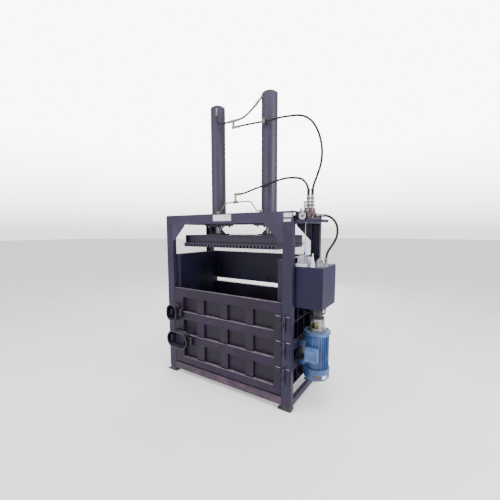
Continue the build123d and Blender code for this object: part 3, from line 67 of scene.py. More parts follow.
def surface(name, tones, patch_mm, roughness, grain_mm, grain_high_mm, metallic=0.0, coat=0.0,
            spread=0.08, bump=0.3, dust=None, stretch=(1.0, 1.0, 1.0), ior=1.5):
    # A made surface: three tones in patches of a real size, a gloss that
    # wanders with them, a grain of a real height and, where dust is given a
    # colour, a film on all that faces up. Grain finer than 1 mm is drawn at
    # 1 mm or more, because it wouldn't show. The index is that of paint or
    # plastic. Dull enamels have a lower one, which takes the room's pale
    # gleam off them, as in the photograph.
    dust_patch_mm = 60
    material = bpy.data.materials.new(name)
    material.use_nodes = True
    shader = material.node_tree.nodes["Principled BSDF"]
    shader.inputs["Metallic"].default_value = metallic
    shader.inputs["IOR"].default_value = ior
    shader.inputs["Coat Weight"].default_value = coat
    shader.inputs["Coat Roughness"].default_value = 0.25
    link = material.node_tree.links.new
    place = node(material, "ShaderNodeTexCoord").outputs["Object"]
    drawn = node(material, "ShaderNodeMapping", inputs={"Scale": stretch},
                 links={"Vector": place}).outputs["Vector"]
    patch = node(material, "ShaderNodeTexNoise", links={"Vector": drawn},
                 inputs={"Scale": 1000 / patch_mm, "Detail": 6.0, "Roughness": 0.62})
    ramp = node(material, "ShaderNodeValToRGB", links={"Fac": patch.outputs["Fac"]})
    ramp.color_ramp.elements[0].position = 0.34
    ramp.color_ramp.elements[0].color = colour(tones[0])
    ramp.color_ramp.elements[1].position = 0.68
    ramp.color_ramp.elements[1].color = colour(tones[2])
    ramp.color_ramp.elements.new(0.5).color = colour(tones[1])
    tone = ramp.outputs["Color"]
    gloss = node(material, "ShaderNodeMapRange", links={"Value": patch.outputs["Fac"]},
                 inputs={"From Min": 0.3, "From Max": 0.7, "To Min": roughness - spread,
                         "To Max": roughness + spread}).outputs["Result"]
    if dust:
        facing = node(material, "ShaderNodeSeparateXYZ",
                      links={"Vector": node(material, "ShaderNodeNewGeometry").outputs["Normal"]})
        lying = node(material, "ShaderNodeMapRange", links={"Value": facing.outputs["Z"]},
                     inputs={"From Min": 0.55, "From Max": 0.98, "To Min": 0.0, "To Max": 1.1})
        drift = node(material, "ShaderNodeTexNoise", links={"Vector": place},
                     inputs={"Scale": 1000 / dust_patch_mm, "Detail": 5.0})
        film = node(material, "ShaderNodeMath", settings={"operation": "MULTIPLY"},
                    links={0: lying.outputs["Result"], 1: drift.outputs["Fac"]})
        mixed = node(material, "ShaderNodeMix", settings={"data_type": "RGBA"},
                     links={"Factor": film.outputs["Value"], 6: tone}, inputs={7: colour(dust)})
        tone = mixed.outputs[2]
    link(tone, shader.inputs["Base Color"])
    link(gloss, shader.inputs["Roughness"])
    grain = node(material, "ShaderNodeTexNoise", links={"Vector": place},
                 inputs={"Scale": 1000 / grain_mm, "Detail": 2.0})
    relief = node(material, "ShaderNodeBump", links={"Height": grain.outputs["Fac"]},
                  inputs={"Strength": bump, "Distance": grain_high_mm / 1000})
    link(relief.outputs["Normal"], shader.inputs["Normal"])
    return material


def dress(material, *names):
    for name in names:
        target = nodes[name]
        target.data.materials.clear()
        target.data.materials.append(material)


frame_enamel = surface("alkyd_enamel_on_rolled_steel", ("#1A1529", "#201B32", "#2B253F"), 420.0,
                       0.52, 4.0, 0.05, bump=0.15, dust="#5A586C", ior=1.36)
dress(frame_enamel, "post_front_left", "post_front_right", "post_rear_left", "post_rear_right",
      "side_rails", "motor_bracket", "valve_shelf", "post_hinge_leaves", "post_latch_lugs")

# The top beams and gussets got a second coat, a little lighter than the first,
# and the base beams are browner and lighter still, as painted light from the pale
# floor below, with dust on their tops.
beam_enamel = surface("second_coat_enamel_on_rolled_steel", ("#221B31", "#2A233C", "#382E4B"),
                      420.0, 0.50, 4.0, 0.05, bump=0.15, dust="#5A586C", ior=1.38)
dress(beam_enamel, "top_front_beam", "top_rear_beam", "top_cross_beams", "corner_gussets")
base_enamel_lit_from_floor = surface("floor_lit_enamel_on_base_beam", ("#291B29", "#39283A", "#503B4D"), 130.0,
                      0.50, 3.0, 0.06, bump=0.2, dust="#6C6470", ior=1.42)
dress(base_enamel_lit_from_floor, "base_front_beam", "base_rear_beam")


# Welds of the frame: short runs laid with a wire welder where the gussets
# meet posts and beams, and painted over. They read as small scalloped beads.
def put_in_scene(name, mesh, material, body):
    # Edges sharper than 35 degrees stay sharp, the rest is shaded round
    bmesh.ops.recalc_face_normals(mesh, faces=mesh.faces)
    data = bpy.data.meshes.new(name)
    mesh.to_mesh(data)
    mesh.free()
    data.shade_smooth()
    data.set_sharp_from_angle(angle=math.radians(35))
    piece = bpy.data.objects.new(name, data)
    scene.collection.objects.link(piece)
    data.materials.append(material)
    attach(piece, body)


def weld_run(mesh, start, end, half_wide=0.0035, pitch=0.005):
    along = Vector(end) - Vector(start)
    count = max(2, round(along.length / pitch))
    for index in range(count):
        made = bmesh.ops.create_icosphere(mesh, subdivisions=1, radius=half_wide)
        bmesh.ops.translate(mesh, vec=Vector(start) + along * (index + 0.5) / count,
                            verts=made["verts"])


post_inner_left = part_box("post_front_left")[1].x
post_inner_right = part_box("post_front_right")[0].x
front_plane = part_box("post_front_left")[0].y
rear_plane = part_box("post_rear_left")[1].y
beam_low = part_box("top_front_beam")[0].z
gusset_leg = beam_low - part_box("corner_gussets")[0].z
gusset_inset = 0.008
run_starts = (0.2, 0.62)
run_long = 0.040
frame_welds = bmesh.new()
for plane, inward in ((front_plane, 1), (rear_plane, -1)):
    back = plane + inward * gusset_inset
    for corner, way in ((post_inner_left, 1), (post_inner_right, -1)):
        for share in run_starts:
            here = corner + way * gusset_leg * share
            weld_run(frame_welds, (here, back, beam_low), (here + way * run_long, back, beam_low))
            drop = beam_low - gusset_leg * share
            weld_run(frame_welds, (corner, back, drop), (corner, back, drop - run_long))
put_in_scene("frame_welds", frame_welds, frame_enamel, "frame")


# Feet: boxes of plate under the posts, with an ear each for an anchor bolt.
# They stand on the shop floor, so their enamel is scuffed and browner.
foot_enamel = surface("scuffed_alkyd_enamel", ("#15141A", "#1F1D24", "#35312F"), 70.0, 0.58,
                      3.0, 0.10, dust="#625E60")
dress(foot_enamel, "feet")


# Anchor bolts: zinc plated studs set in the floor, each with a washer and a
# hexagon nut on the ear. Zinc gives a pale, slightly yellow grey metal.
def turned(mesh, profile, matrix, steps=24):
    # A profile of (radius, height) points turned about its axis. One that
    # doesn't start on the axis is closed to a ring, and the poles are merged.
    before = set(mesh.verts)
    ring = [mesh.verts.new((r, 0.0, z)) for r, z in profile]
    edges = [mesh.edges.new(pair) for pair in zip(ring, ring[1:])]
    if profile[0][0] > 0.0:
        edges.append(mesh.edges.new((ring[-1], ring[0])))
    bmesh.ops.spin(mesh, geom=ring + edges, cent=(0, 0, 0), axis=(0, 0, 1), angle=math.tau,
                   steps=steps, use_merge=True, use_duplicate=False)
    bmesh.ops.remove_doubles(mesh, verts=[v for v in mesh.verts if v not in before], dist=1.0e-6)
    bmesh.ops.transform(mesh, matrix=matrix, verts=[v for v in mesh.verts if v not in before])


def upright_on(place, direction=(0, 0, 1)):
    # The matrix that stands a piece made along Z at a place, facing a way
    spun = Vector(direction).to_track_quat("Z", "Y").to_matrix().to_4x4()
    return Matrix.Translation(place) @ spun


def eased(mesh, edges, by, steps):
    # Edges cut back to a chamfer in one step, or to a round in several
    return bmesh.ops.bevel(mesh, geom=edges, offset=by, affect="EDGES", segments=steps,
                           profile=0.5, material=-1)["verts"]


def hexagon(mesh, across, high, matrix):
    # Hexagon head or nut with its upper corners chamfered
    made = bmesh.ops.create_cone(mesh, cap_ends=True, segments=6, radius1=across / math.sqrt(3),
                                 radius2=across / math.sqrt(3), depth=high)
    bmesh.ops.translate(mesh, vec=(0, 0, high / 2), verts=made["verts"])
    rim = [e for v in made["verts"] for e in v.link_edges
           if all(w.co.z > high * 0.9 for w in e.verts)]
    solid = set(made["verts"]) | set(eased(mesh, list(set(rim)), across * 0.06, steps=1))
    bmesh.ops.transform(mesh, matrix=matrix, verts=[v for v in solid if v.is_valid])


zinc = surface("zinc_plate_on_steel", ("#6E6B66", "#8B8884", "#A8A6A4"), 25.0, 0.34, 1.2, 0.02,
               metallic=0.95, bump=0.2)
anchor_x, anchor_y, ear_top = 0.750, 0.330, 0.010
washer_radius, washer_thick, washer_edge = 0.0165, 0.003, 0.0005
nut_across, nut_high = 0.024, 0.012
stud_radius, stud_tip, stud_shoulder, stud_top = 0.0078, 0.0066, 0.026, 0.028
anchors = bmesh.new()
for side_x in (-1, 1):
    for side_y in (-1, 1):
        place = Vector((side_x * anchor_x, side_y * anchor_y, ear_top))
        turned(anchors, [(0.0, 0.0), (washer_radius - washer_edge, 0.0),
                         (washer_radius, washer_edge), (washer_radius, washer_thick - washer_edge),
                         (washer_radius - washer_edge, washer_thick), (0.0, washer_thick)],
               upright_on(place))
        hexagon(anchors, nut_across, nut_high,
                upright_on(place + Vector((0, 0, washer_thick))))
        turned(anchors, [(0.0, nut_high), (stud_radius, nut_high), (stud_radius, stud_shoulder),
                         (stud_tip, stud_top), (0.0, stud_top)], upright_on(place))
put_in_scene("anchor_bolts", anchors, zinc, "frame")


# Chamber: side walls, floor and rear panel of sheet, sprayed with the same
# enamel. Bales rub it, so it is dark with duller and glossier streaks.
chamber_enamel = surface("rubbed_enamel_on_sheet", ("#0E0B20", "#15112C", "#1E1B3D"), 260.0, 0.52,
                         3.0, 0.06, bump=0.15, dust="#3E3D4A", stretch=(1.0, 1.0, 0.45), ior=1.36)
dress(chamber_enamel, "floor_plate", "side_wall_left", "side_wall_right", "rear_panel")


# Doors: a skin with cross rails and uprights of folded sheet welded on, then
# sprayed. The enamel is a little browner than the frame's, from another tin.
# The pockets are painted darker: painted shade where the recesses lie in shadow.
door_tones = ("#160D1D", "#1D1127", "#281935")
rear_door_proud = 0.020
door_sides = (("front", front_plane, -1), ("rear", rear_plane + rear_door_proud, 1))
pocket_deep, door_deep = 0.036, 0.042
# The band of painted shade in the pockets, by depth: its start, full part, end, darkness and tone
pocket_shade_from, pocket_shade_full, pocket_shade_to = 0.35, (0.80, 0.90), 0.97
pocket_shade_cover = 0.42
pocket_shade_tone = "#07060A"
door_enamels = {}
for side, face, out in door_sides:
    door_enamel = surface(side + "_door_brown_grey_enamel_on_sheet", door_tones, 340.0, 0.50,
                          4.0, 0.05, bump=0.15, dust="#8E8690", ior=1.34)
    # Painted shade lies between the outer face of the ribs and the back of the skin
    place = node(door_enamel, "ShaderNodeTexCoord").outputs["Object"]
    inwards = node(door_enamel, "ShaderNodeSeparateXYZ", links={"Vector": place}).outputs["Y"]
    deep = node(door_enamel, "ShaderNodeMapRange", links={"Value": inwards},
                inputs={"From Min": face, "From Max": face - out * door_deep})
    pocket_shade = node(door_enamel, "ShaderNodeValToRGB", links={"Fac": deep.outputs["Result"]})
    band = pocket_shade.color_ramp
    band.elements[0].position = pocket_shade_from
    band.elements[0].color = (0.0, 0.0, 0.0, 1.0)
    band.elements[1].position = pocket_shade_to
    band.elements[1].color = (0.0, 0.0, 0.0, 1.0)
    for share in pocket_shade_full:
        band.elements.new(share).color = (pocket_shade_cover, pocket_shade_cover, pocket_shade_cover, 1.0)
    shader = door_enamel.node_tree.nodes["Principled BSDF"]
    unshaded_tone = shader.inputs["Base Color"].links[0].from_socket
    # The pockets' painted shade is mixed over the enamel's tone
    shaded_pocket_tone = node(door_enamel, "ShaderNodeMix", settings={"data_type": "RGBA"},
                 links={"Factor": pocket_shade.outputs["Color"], 6: unshaded_tone},
                 inputs={7: colour(pocket_shade_tone)})
    door_enamel.node_tree.links.new(shaded_pocket_tone.outputs[2], shader.inputs["Base Color"])
    dress(door_enamel, side + "_door", side + "_latch_mounts")
    door_enamels[side] = door_enamel

# Stitch welds inside the pockets: two short runs on the left edge of each,
# where the upright meets the skin, as the shop laid them, and painted over.
pocket_lows = (-0.492, -0.190, 0.134, 0.451)
pocket_rows = ((0.222, 0.405), (0.495, 0.665), (0.758, 0.930))
stitch_shares = (0.28, 0.72)
stitch_long, stitch_half_wide = 0.030, 0.004
for side, face, out in door_sides:
    skin = face - out * pocket_deep
    stitches = bmesh.new()
    for low_x in pocket_lows:
        for low_z, high_z in pocket_rows:
            for share in stitch_shares:
                mid = low_z + (high_z - low_z) * share
                weld_run(stitches, (low_x, skin, mid - stitch_long / 2),
                         (low_x, skin, mid + stitch_long / 2), half_wide=stitch_half_wide)
    put_in_scene(side + "_door_stitches", stitches, door_enamels[side], side + "_door")

# Edge beads: where the folded cross ribs and the hinge leaves end, a thin bead
# of weld runs along their upper edge. Its enamel is painted pale as a painted
# highlight of the light that catches the edge from above, with dust on top.
bead_painted_highlight = surface("pale_painted_highlight_on_weld", ("#4A4350", "#625A68", "#7E7684"), 60.0, 0.45, 3.0,
                      0.05, dust="#A79FAA")
rib_from, rib_to = -0.492, 0.684
rib_bead, rib_bead_sunk, rib_bead_drop = 0.0024, 0.001, 0.0005
leaf_tops = (0.415, 0.667, 0.907)
leaf_bead, leaf_bead_out = 0.0042, 0.0042
door_leaf, post_leaf = (0.710, 0.760), (0.815, 0.850)


def edge_bead(mesh, start, end, y, z, radius):
    bmesh.ops.create_cone(mesh, cap_ends=True, segments=10, radius1=radius, radius2=radius,
                          depth=end - start,
                          matrix=Matrix.Translation(((start + end) / 2, y, z))
                          @ Matrix.Rotation(math.pi / 2, 4, "Y"))


for side, face, out in door_sides:
    door_beads = bmesh.new()
    post_beads = bmesh.new()
    for low_z, high_z in pocket_rows:
        edge_bead(door_beads, rib_from, rib_to, face - out * rib_bead_sunk,
                  low_z - rib_bead_drop, rib_bead)
    for top in leaf_tops:
        edge_bead(door_beads, *door_leaf, face + out * leaf_bead_out, top, leaf_bead)
        edge_bead(post_beads, *post_leaf, face + out * leaf_bead_out, top, leaf_bead)
    put_in_scene(side + "_door_edge_beads", door_beads, bead_painted_highlight, side + "_door")
    put_in_scene(side + "_post_leaf_beads", post_beads, bead_painted_highlight, "frame")

# Hinge pins: drawn steel bars, pushed down through the knuckles and held by
# their heads. They are greased, so they are dark with a wet gloss.
pin_steel = surface("greased_bright_steel", ("#3F3B38", "#57524E", "#77726E"), 18.0, 0.26, 1.0,
                    0.01, metallic=0.9)
dress(pin_steel, "hinge_pins")


# Hoop latches: flat bar bent to a loop and welded to a barrel, brushed with
# enamel and polished darker by the hands that throw them over their lugs.
hoop_enamel = surface("handled_enamel_on_flat_bar", ("#0F0C14", "#16121C", "#241F2B"), 80.0, 0.38,
                      2.5, 0.06, dust="#55525E")
dress(hoop_enamel, "front_latch_upper", "front_latch_lower", "rear_latch_upper",
      "rear_latch_lower")


# Cylinders: honed tubes with welded caps and flanges, sprayed in the frame's
# enamel while upright. Long runs down the tube show as narrow streaks.
cylinder_enamel = surface("enamel_on_honed_tube", ("#1F1A30", "#29233A", "#332D48"), 300.0, 0.42,
                          6.0, 0.02, bump=0.03, dust="#5A586C",
                          stretch=(3.0, 3.0, 0.35))
dress(cylinder_enamel, "cylinder_left", "cylinder_right", "rod_glands")

# Weld rings: a bead of weld round each barrel, where it passes between the
# bridge beams, sprayed over with the tube.
cylinder_boxes = [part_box(name) for name in ("cylinder_left", "cylinder_right")]
cylinder_places = [(low.x + high.x) / 2 for low, high in cylinder_boxes]
cylinder_low, cylinder_high = cylinder_boxes[0]
cylinder_y = (cylinder_low.y + cylinder_high.y) / 2
barrel_radius = 0.066
barrel_ring_low = beam_low + 0.001
ring_high, ring_sunk = 0.004, 0.001


def weld_ring(mesh, radius, centre_x, low):
    turned(mesh, [(radius - ring_sunk, 0.0), (radius + ring_high, 0.0),
                  (radius + ring_high * 0.8, ring_high * 0.6), (radius - ring_sunk, ring_high)],
           upright_on((centre_x, cylinder_y, low)), steps=48)


rings = bmesh.new()
for centre_x in cylinder_places:
    weld_ring(rings, barrel_radius, centre_x, barrel_ring_low)
put_in_scene("cylinder_weld_rings", rings, cylinder_enamel, "frame")

# Outer tubes: thick steel tube of 168 mm that stands on the bridge beams over
# each barrel, closed by a stepped cap that is welded in and ground smooth.
outer_radius, bore_radius = 0.084, 0.0665
outer_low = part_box("top_cross_beams")[1].z + 0.0005
bore_top = cylinder_high.z + 0.002
outer_rim, outer_top = 3.0860, 3.1030
rim_round, cap_radius, cap_round = 0.005, 0.052, 0.004
outer_tubes = bmesh.new()
for centre_x in cylinder_places:
    turned(outer_tubes, [(0.0, bore_top), (bore_radius, bore_top), (bore_radius, outer_low),
                         (outer_radius, outer_low), (outer_radius, outer_rim - rim_round),
                         (outer_radius - rim_round, outer_rim), (cap_radius, outer_rim),
                         (cap_radius, outer_top - cap_round), (cap_radius - cap_round, outer_top),
                         (0.0, outer_top)],
           upright_on((centre_x, cylinder_y, 0.0)), steps=64)
    weld_ring(outer_tubes, outer_radius, centre_x, outer_low)
put_in_scene("cylinder_outer_tubes", outer_tubes, cylinder_enamel, "frame")

# Bleed screws: one turned steel screw with a collar on top of each cylinder's
# cap, zinc plated, to let air out of the oil.
collar_radius, collar_high = 0.011, 0.005
bleed_radius, bleed_tip, bleed_high = 0.0085, 0.007, 0.018
bleed_screws = bmesh.new()
for centre_x in cylinder_places:
    turned(bleed_screws, [(0.0, -0.002), (collar_radius, -0.002),
                          (collar_radius, collar_high - 0.001), (bleed_radius, collar_high),
                          (bleed_radius, bleed_high - 0.002), (bleed_tip, bleed_high),
                          (0.0, bleed_high)],
           upright_on((centre_x, cylinder_y, outer_top)), steps=20)
put_in_scene("bleed_screws", bleed_screws, zinc, "frame")

# Flange bolts: steel bolts with a spring washer under each head, zinc plated,
# that hold the flanges of the cylinders to the bridge beams.
dress(zinc, "flange_bolts")


# Piston rods: ground bar with hard chrome, dulled by an oil film, and a foot
# plate with fins, welded on and sprayed like the ram they press on.
rod_chrome = surface("hard_chrome_with_oil", ("#55565C", "#66676D", "#7A7B81"), 60.0, 0.24, 1.0,
                     0.005, metallic=1.0, spread=0.05, bump=0.1)
ram_enamel = surface("dusty_enamel_on_channel", ("#110D21", "#19152E", "#251E3E"), 240.0, 0.52,
                     3.5, 0.06, bump=0.15, dust="#4C4958")
foot_high, foot_plate_thick = 0.0725, 0.0145
rod_radius = 0.0352
for name, centre_x in (("piston_rod_left", cylinder_places[0]),
                       ("piston_rod_right", cylinder_places[1])):
    dress(rod_chrome, name)
    rod = nodes[name].data
    rod.materials.append(ram_enamel)
    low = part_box(name)[0].z
    for face in rod.polygons:
        mid = face.center
        out = math.hypot(mid.x - centre_x, mid.y - cylinder_y)
        if mid.z < low + foot_high and (out > rod_radius or mid.z < low + foot_plate_thick):
            face.material_index = 1


# Ram: a frame of channels with box sections under the rods and a pressing
# face with bars, between which the strapping runs. Sprayed, then dusty.
dress(ram_enamel, "platen_frame", "platen_face")


# Oil tank: folded and welded sheet, sprayed smooth in a bluer batch of the
# enamel, hung on two rails of the frame.
tank_enamel = surface("smooth_enamel_on_folded_sheet", ("#0F0B26", "#161333", "#1D1B41"), 460.0,
                      0.60, 5.0, 0.03, bump=0.1, dust="#77758A", ior=1.33)
dress(tank_enamel, "oil_tank")

# Lid screws of the tank: low hexagon heads of steel, zinc plated, round the
# edge of the top.
tank_low, tank_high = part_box("oil_tank")
left, right = tank_low.x + 0.022, tank_high.x - 0.020
front, back = tank_low.y + 0.020, tank_high.y - 0.020
lid_screw_across, lid_screw_high = 0.010, 0.005
tank_screws = bmesh.new()
for x, y in ((right, front), (right, -0.130), (right, back), (0.985, back), (left, back),
             (left, -0.140)):
    hexagon(tank_screws, lid_screw_across, lid_screw_high, upright_on((x, y, tank_high.z)))
put_in_scene("tank_lid_screws", tank_screws, zinc, "frame")

# Filler cover and funnel: pale polyethylene, moulded, a little dirty in the
# corners and softly shiny. The funnel's wall is thin and lets light through.
cover_plastic = surface("moulded_polyethylene", ("#A9A6BC", "#C0BECE", "#D2D0DE"), 90.0, 0.42,
                        1.5, 0.02, bump=0.2)
dress(cover_plastic, "filler_cover")
funnel_plastic = surface("thin_moulded_polyethylene", ("#C4C3D6", "#D5D4E2", "#E4E3EE"), 70.0,
                         0.36, 1.5, 0.02, bump=0.2)
funnel_plastic.node_tree.nodes["Principled BSDF"].inputs["Subsurface Weight"].default_value = 0.15
dress(funnel_plastic, "filler_funnel")

# Return filter and breather: pressed steel, lacquered over a chrome plate,
# which gives a grey sheen. Both are screwed into the tank's top.
filter_steel = surface("lacquered_pressed_steel", ("#6F7078", "#8D8E97", "#ABACB5"), 35.0, 0.26,
                       1.2, 0.02, metallic=0.7)
dress(filter_steel, "return_filter", "air_breather")


# Motor: a grey iron housing with cast fins, pressed fan cowl and a cast
# terminal box, all in blue machine enamel that pools between the fins. The
# coupling, seen through the bell's window, is enamelled yellow green.
motor_enamel = surface("blue_enamel_on_cast_iron", ("#24385E", "#314F83", "#446AA3"), 140.0, 0.42,
                       2.0, 0.10, coat=0.1, dust="#5F7D9C")
dress(motor_enamel, "motor_housing", "fan_cowl", "terminal_box")
coupling_enamel = surface("yellow_green_coupling_enamel", ("#7D7F3C", "#9A9C4E", "#B2B467"),
                          20.0, 0.42, 1.5, 0.05)
dress(coupling_enamel, "motor_rotor")


# Terminal box lid: cast iron in the motor's enamel, held by four round head
# screws, standing proud of the box by its own thickness.
def block(mesh, size, centre):
    made = bmesh.ops.create_cube(mesh, size=1.0)
    bmesh.ops.scale(mesh, vec=size, verts=made["verts"])
    bmesh.ops.translate(mesh, vec=centre, verts=made["verts"])


box_low, box_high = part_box("terminal_box")
box_mid = (box_low + box_high) / 2
lid_inset, lid_thick = 0.015, 0.009
lid_corner, lid_rim = 0.010, 0.004
lid = bmesh.new()
block(lid, (box_high.x - box_low.x - 2 * lid_inset, lid_thick,
            box_high.z - box_low.z - 2 * lid_inset),
      (box_mid.x, box_low.y - lid_thick / 2, box_mid.z))
corners = [e for e in lid.edges if abs(e.verts[0].co.y - e.verts[1].co.y) > lid_thick / 2]
eased(lid, corners, lid_corner, steps=4)
front_rim = [e for e in lid.edges if all(v.co.y < box_low.y - lid_thick * 0.9 for v in e.verts)]
eased(lid, front_rim, lid_rim, steps=3)
put_in_scene("terminal_box_lid", lid, motor_enamel, "frame")
screw_inset, head_radius, head_high = 0.025, 0.0045, 0.003
box_screws = bmesh.new()
for x in (box_low.x + screw_inset, box_high.x - screw_inset):
    for z in (box_low.z + screw_inset, box_high.z - screw_inset):
        turned(box_screws, [(0.0, 0.0), (head_radius, 0.0), (head_radius, head_high * 0.4),
                            (head_radius * 0.8, head_high * 0.8), (0.0, head_high)],
               upright_on((x, box_low.y - lid_thick, z), (0, -1, 0)), steps=16)
put_in_scene("terminal_box_screws", box_screws, zinc, "frame")

# Cable gland: moulded nylon under the terminal box, a dull black, with a
# hexagon and a ribbed dome nut, closed by a blank.
nylon = surface("black_moulded_nylon", ("#131216", "#1B1A1F", "#27262D"), 20.0, 0.38, 1.2, 0.02)
gland_across, gland_hexagon_high = 0.024, 0.007
gland_left = 0.020
dome_nut = ((0.0, 0.006), (0.0095, 0.006), (0.0105, 0.008), (0.0105, 0.018), (0.0085, 0.024),
            (0.0060, 0.026), (0.0060, 0.024), (0.0, 0.024))
gland_place = Vector((box_mid.x - gland_left, box_mid.y, box_low.z))
gland = bmesh.new()
hexagon(gland, gland_across, gland_hexagon_high, upright_on(gland_place, (0, 0, -1)))
turned(gland, dome_nut, upright_on(gland_place, (0, 0, -1)), steps=18)
put_in_scene("cable_gland", gland, nylon, "frame")

# Plates on the fan cowl: thin aluminium bent to the cowl and left without
# print, one enamelled a dull red brown, one anodised to a pale satin grey.
bell_low, bell_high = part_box("bell_housing")
motor_x, motor_y = (bell_low.x + bell_high.x) / 2, (bell_low.y + bell_high.y) / 2
cowl_radius = 0.122
plate_thick = 0.0008
anodised = surface("bare_anodised_aluminium", ("#A9ABB4", "#BFC1CA", "#D2D4DC"), 30.0, 0.40, 1.0,
                   0.01, metallic=0.3)
brown_plate = surface("red_brown_enamel_on_aluminium", ("#3A2A33", "#4A3540", "#5C434E"), 20.0,
                      0.40, 1.0, 0.01)
for name, material, slot, angle, arc, low, high in (
        ("cowl_plate_brown", brown_plate, "valve_paint", -71.0, 34.0, 0.318, 0.352),
        ("cowl_plate_pale", anodised, "cover_plastic", -33.0, 24.0, 0.316, 0.350)):
    plate = bmesh.new()
    start = math.radians(angle - arc / 2)
    reach = cowl_radius + plate_thick
    foot = plate.verts.new((reach * math.cos(start), reach * math.sin(start), low))
    head = plate.verts.new((reach * math.cos(start), reach * math.sin(start), high))
    edge = plate.edges.new((foot, head))
    bmesh.ops.spin(plate, geom=[foot, head, edge], cent=(0, 0, 0), axis=(0, 0, 1),
                   angle=math.radians(arc), steps=8, use_merge=False, use_duplicate=False)
    bmesh.ops.recalc_face_normals(plate, faces=plate.faces)
    bmesh.ops.solidify(plate, geom=list(plate.faces), thickness=plate_thick)
    bmesh.ops.translate(plate, vec=(motor_x, motor_y, 0), verts=list(plate.verts))
    put_in_scene(name, plate, material, "frame")


# Flange screws: four hexagon screws of zinc plated steel, each on a washer,
# that hold the bell housing to the motor.
def screw_on_washer(mesh, place, direction, washer, head, steps):
    # washer is its radius and thickness, head its width across and height
    radius, thick = washer
    turned(mesh, [(0.0, 0.0), (radius, 0.0), (radius, thick), (0.0, thick)],
           upright_on(place, direction), steps=steps)
    hexagon(mesh, *head, upright_on(Vector(place) + Vector(direction) * thick, direction))


flange_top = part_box("motor_housing")[1].z
flange_circle = 0.104
flange_washer, flange_head = (0.0105, 0.0016), (0.015, 0.009)
flange_screws = bmesh.new()
for turn in range(4):
    angle = math.radians(45 + 90 * turn)
    place = (motor_x + flange_circle * math.cos(angle), motor_y + flange_circle * math.sin(angle),
             flange_top)
    screw_on_washer(flange_screws, place, (0, 0, 1), flange_washer, flange_head, steps=20)
put_in_scene("motor_flange_screws", flange_screws, zinc, "frame")


# Bell housing and gear pump: the bell is sand cast aluminium, left bare, a
# pale grey skin with a coarse grain. The pump is cast iron, bolted on the bell,
# and is painted a dull rough black as painted shade of the tank's shadow there.
aluminium = surface("bare_cast_aluminium", ("#6E6A70", "#8A868D", "#A5A1A9"), 40.0, 0.44, 1.6,
                    0.12, metallic=0.8)
dress(aluminium, "bell_housing")
pump_black_painted_shadow = surface("black_painted_shadow_on_cast_iron", ("#17171C", "#212127", "#303038"), 30.0, 0.46,
                      1.8, 0.15, dust="#55555F")
dress(pump_black_painted_shadow, "gear_pump")

# Pump screws: four long socket screws of oiled steel through the pump's
# body, dark and wet like the hinge pins.
pump_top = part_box("gear_pump")[1].z
socket_screw = ((0.0, 0.0), (0.0065, 0.0), (0.0065, 0.0070), (0.0058, 0.0080),
                (0.0034, 0.0080), (0.0034, 0.0045), (0.0, 0.0045))
pump_screw_x, pump_screw_y = 0.030, 0.026
pump_screws = bmesh.new()
for way_x in (-1, 1):
    for way_y in (-1, 1):
        place = (motor_x + way_x * pump_screw_x, motor_y + way_y * pump_screw_y, pump_top)
        turned(pump_screws, socket_screw, upright_on(place), steps=18)
put_in_scene("pump_screws", pump_screws, pin_steel, "frame")

# Pipes and fittings: bent steel tube and turned steel, zinc plated and then
# passivated in yellow chromate, which leaves a warm, faintly yellow grey.
yellow_zinc = surface("yellow_chromate_zinc", ("#6C675D", "#8C877A", "#ADA89A"), 25.0, 0.36, 1.2,
                      0.02, metallic=0.9, bump=0.2)
dress(yellow_zinc, "suction_pipe", "lower_link_pipes", "pipe_fittings")


# Valve: a hand valve of two cast iron sections bolted together, in dark red
# enamel over a rough casting, on the folded shelf. Its lever is a polished
# steel bar, bright but grey, with a glossy pale green knob of phenolic.
valve_enamel = surface("dark_red_enamel_on_cast_iron", ("#271A23", "#3F2935", "#5B3C4A"), 30.0,
                       0.42, 1.8, 0.22, coat=0.1, dust="#8A7882")
dress(valve_enamel, "valve_block")
knob_plastic = surface("pale_green_moulded_phenolic", ("#A4B5AE", "#BECCC5", "#D6E0DA"), 15.0,
                       0.28, 1.0, 0.005, coat=0.2)
lever_steel = surface("polished_lever_steel", ("#55545A", "#6D6C72", "#88878D"), 12.0, 0.30, 1.0,
                      0.01, metallic=0.95)
dress(lever_steel, "valve_lever")
knob_low = 1.920
lever = nodes["valve_lever"].data
lever.materials.append(knob_plastic)
for face in lever.polygons:
    if face.center.z > knob_low:
        face.material_index = 1

# Lever sleeve: dipped vinyl, pale and softly dull, pushed over the lever's
# bar under the knob.
sleeve_vinyl = surface("pale_dipped_vinyl", ("#9AA09E", "#B3B9B6", "#CACFCC"), 15.0, 0.40, 1.5,
                       0.02)
lever_low, lever_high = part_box("valve_lever")
lever_mid = (lever_low + lever_high) / 2
sleeve_shape = ((0.0048, 1.880), (0.0080, 1.880), (0.0088, 1.884), (0.0082, 1.916),
                (0.0070, 1.924), (0.0048, 1.924))
lever_sleeve = bmesh.new()
turned(lever_sleeve, sleeve_shape, upright_on((lever_mid.x, lever_mid.y, 0.0)), steps=20)
put_in_scene("lever_sleeve", lever_sleeve, sleeve_vinyl, "lever")

# Screwed parts of the valve: tie bolts through the sections, hexagon plugs,
# the capped relief screw and the stacked nuts of the two ports. All are
# turned steel, zinc plated.
valve_front, port_y = -0.300, -0.255
tie_bolts = ((0.884, 1.800), (0.884, 1.838), (1.018, 1.800), (1.018, 1.868))
tie_washer, tie_head = (0.0064, 0.0014), (0.010, 0.006)
plugs = ((0.975, 1.862, 0.020), (0.990, 1.812, 0.017))
plug_high, plug_end = 0.010, 0.013
relief_place = (0.890, port_y, 1.850)
relief_across, relief_high = 0.022, 0.012
relief_cap = ((0.0, relief_high), (0.0085, relief_high), (0.0085, 0.032), (0.0070, 0.036),
              (0.0, 0.037))
port_places = (0.957, 0.994)
port_nuts = ((0.034, 0.022, 1.897), (0.032, 0.016, 1.930), (0.030, 0.018, 1.958))
valve_parts = bmesh.new()
for x, z in tie_bolts:
    screw_on_washer(valve_parts, (x, valve_front, z), (0, -1, 0), tie_washer, tie_head, steps=18)
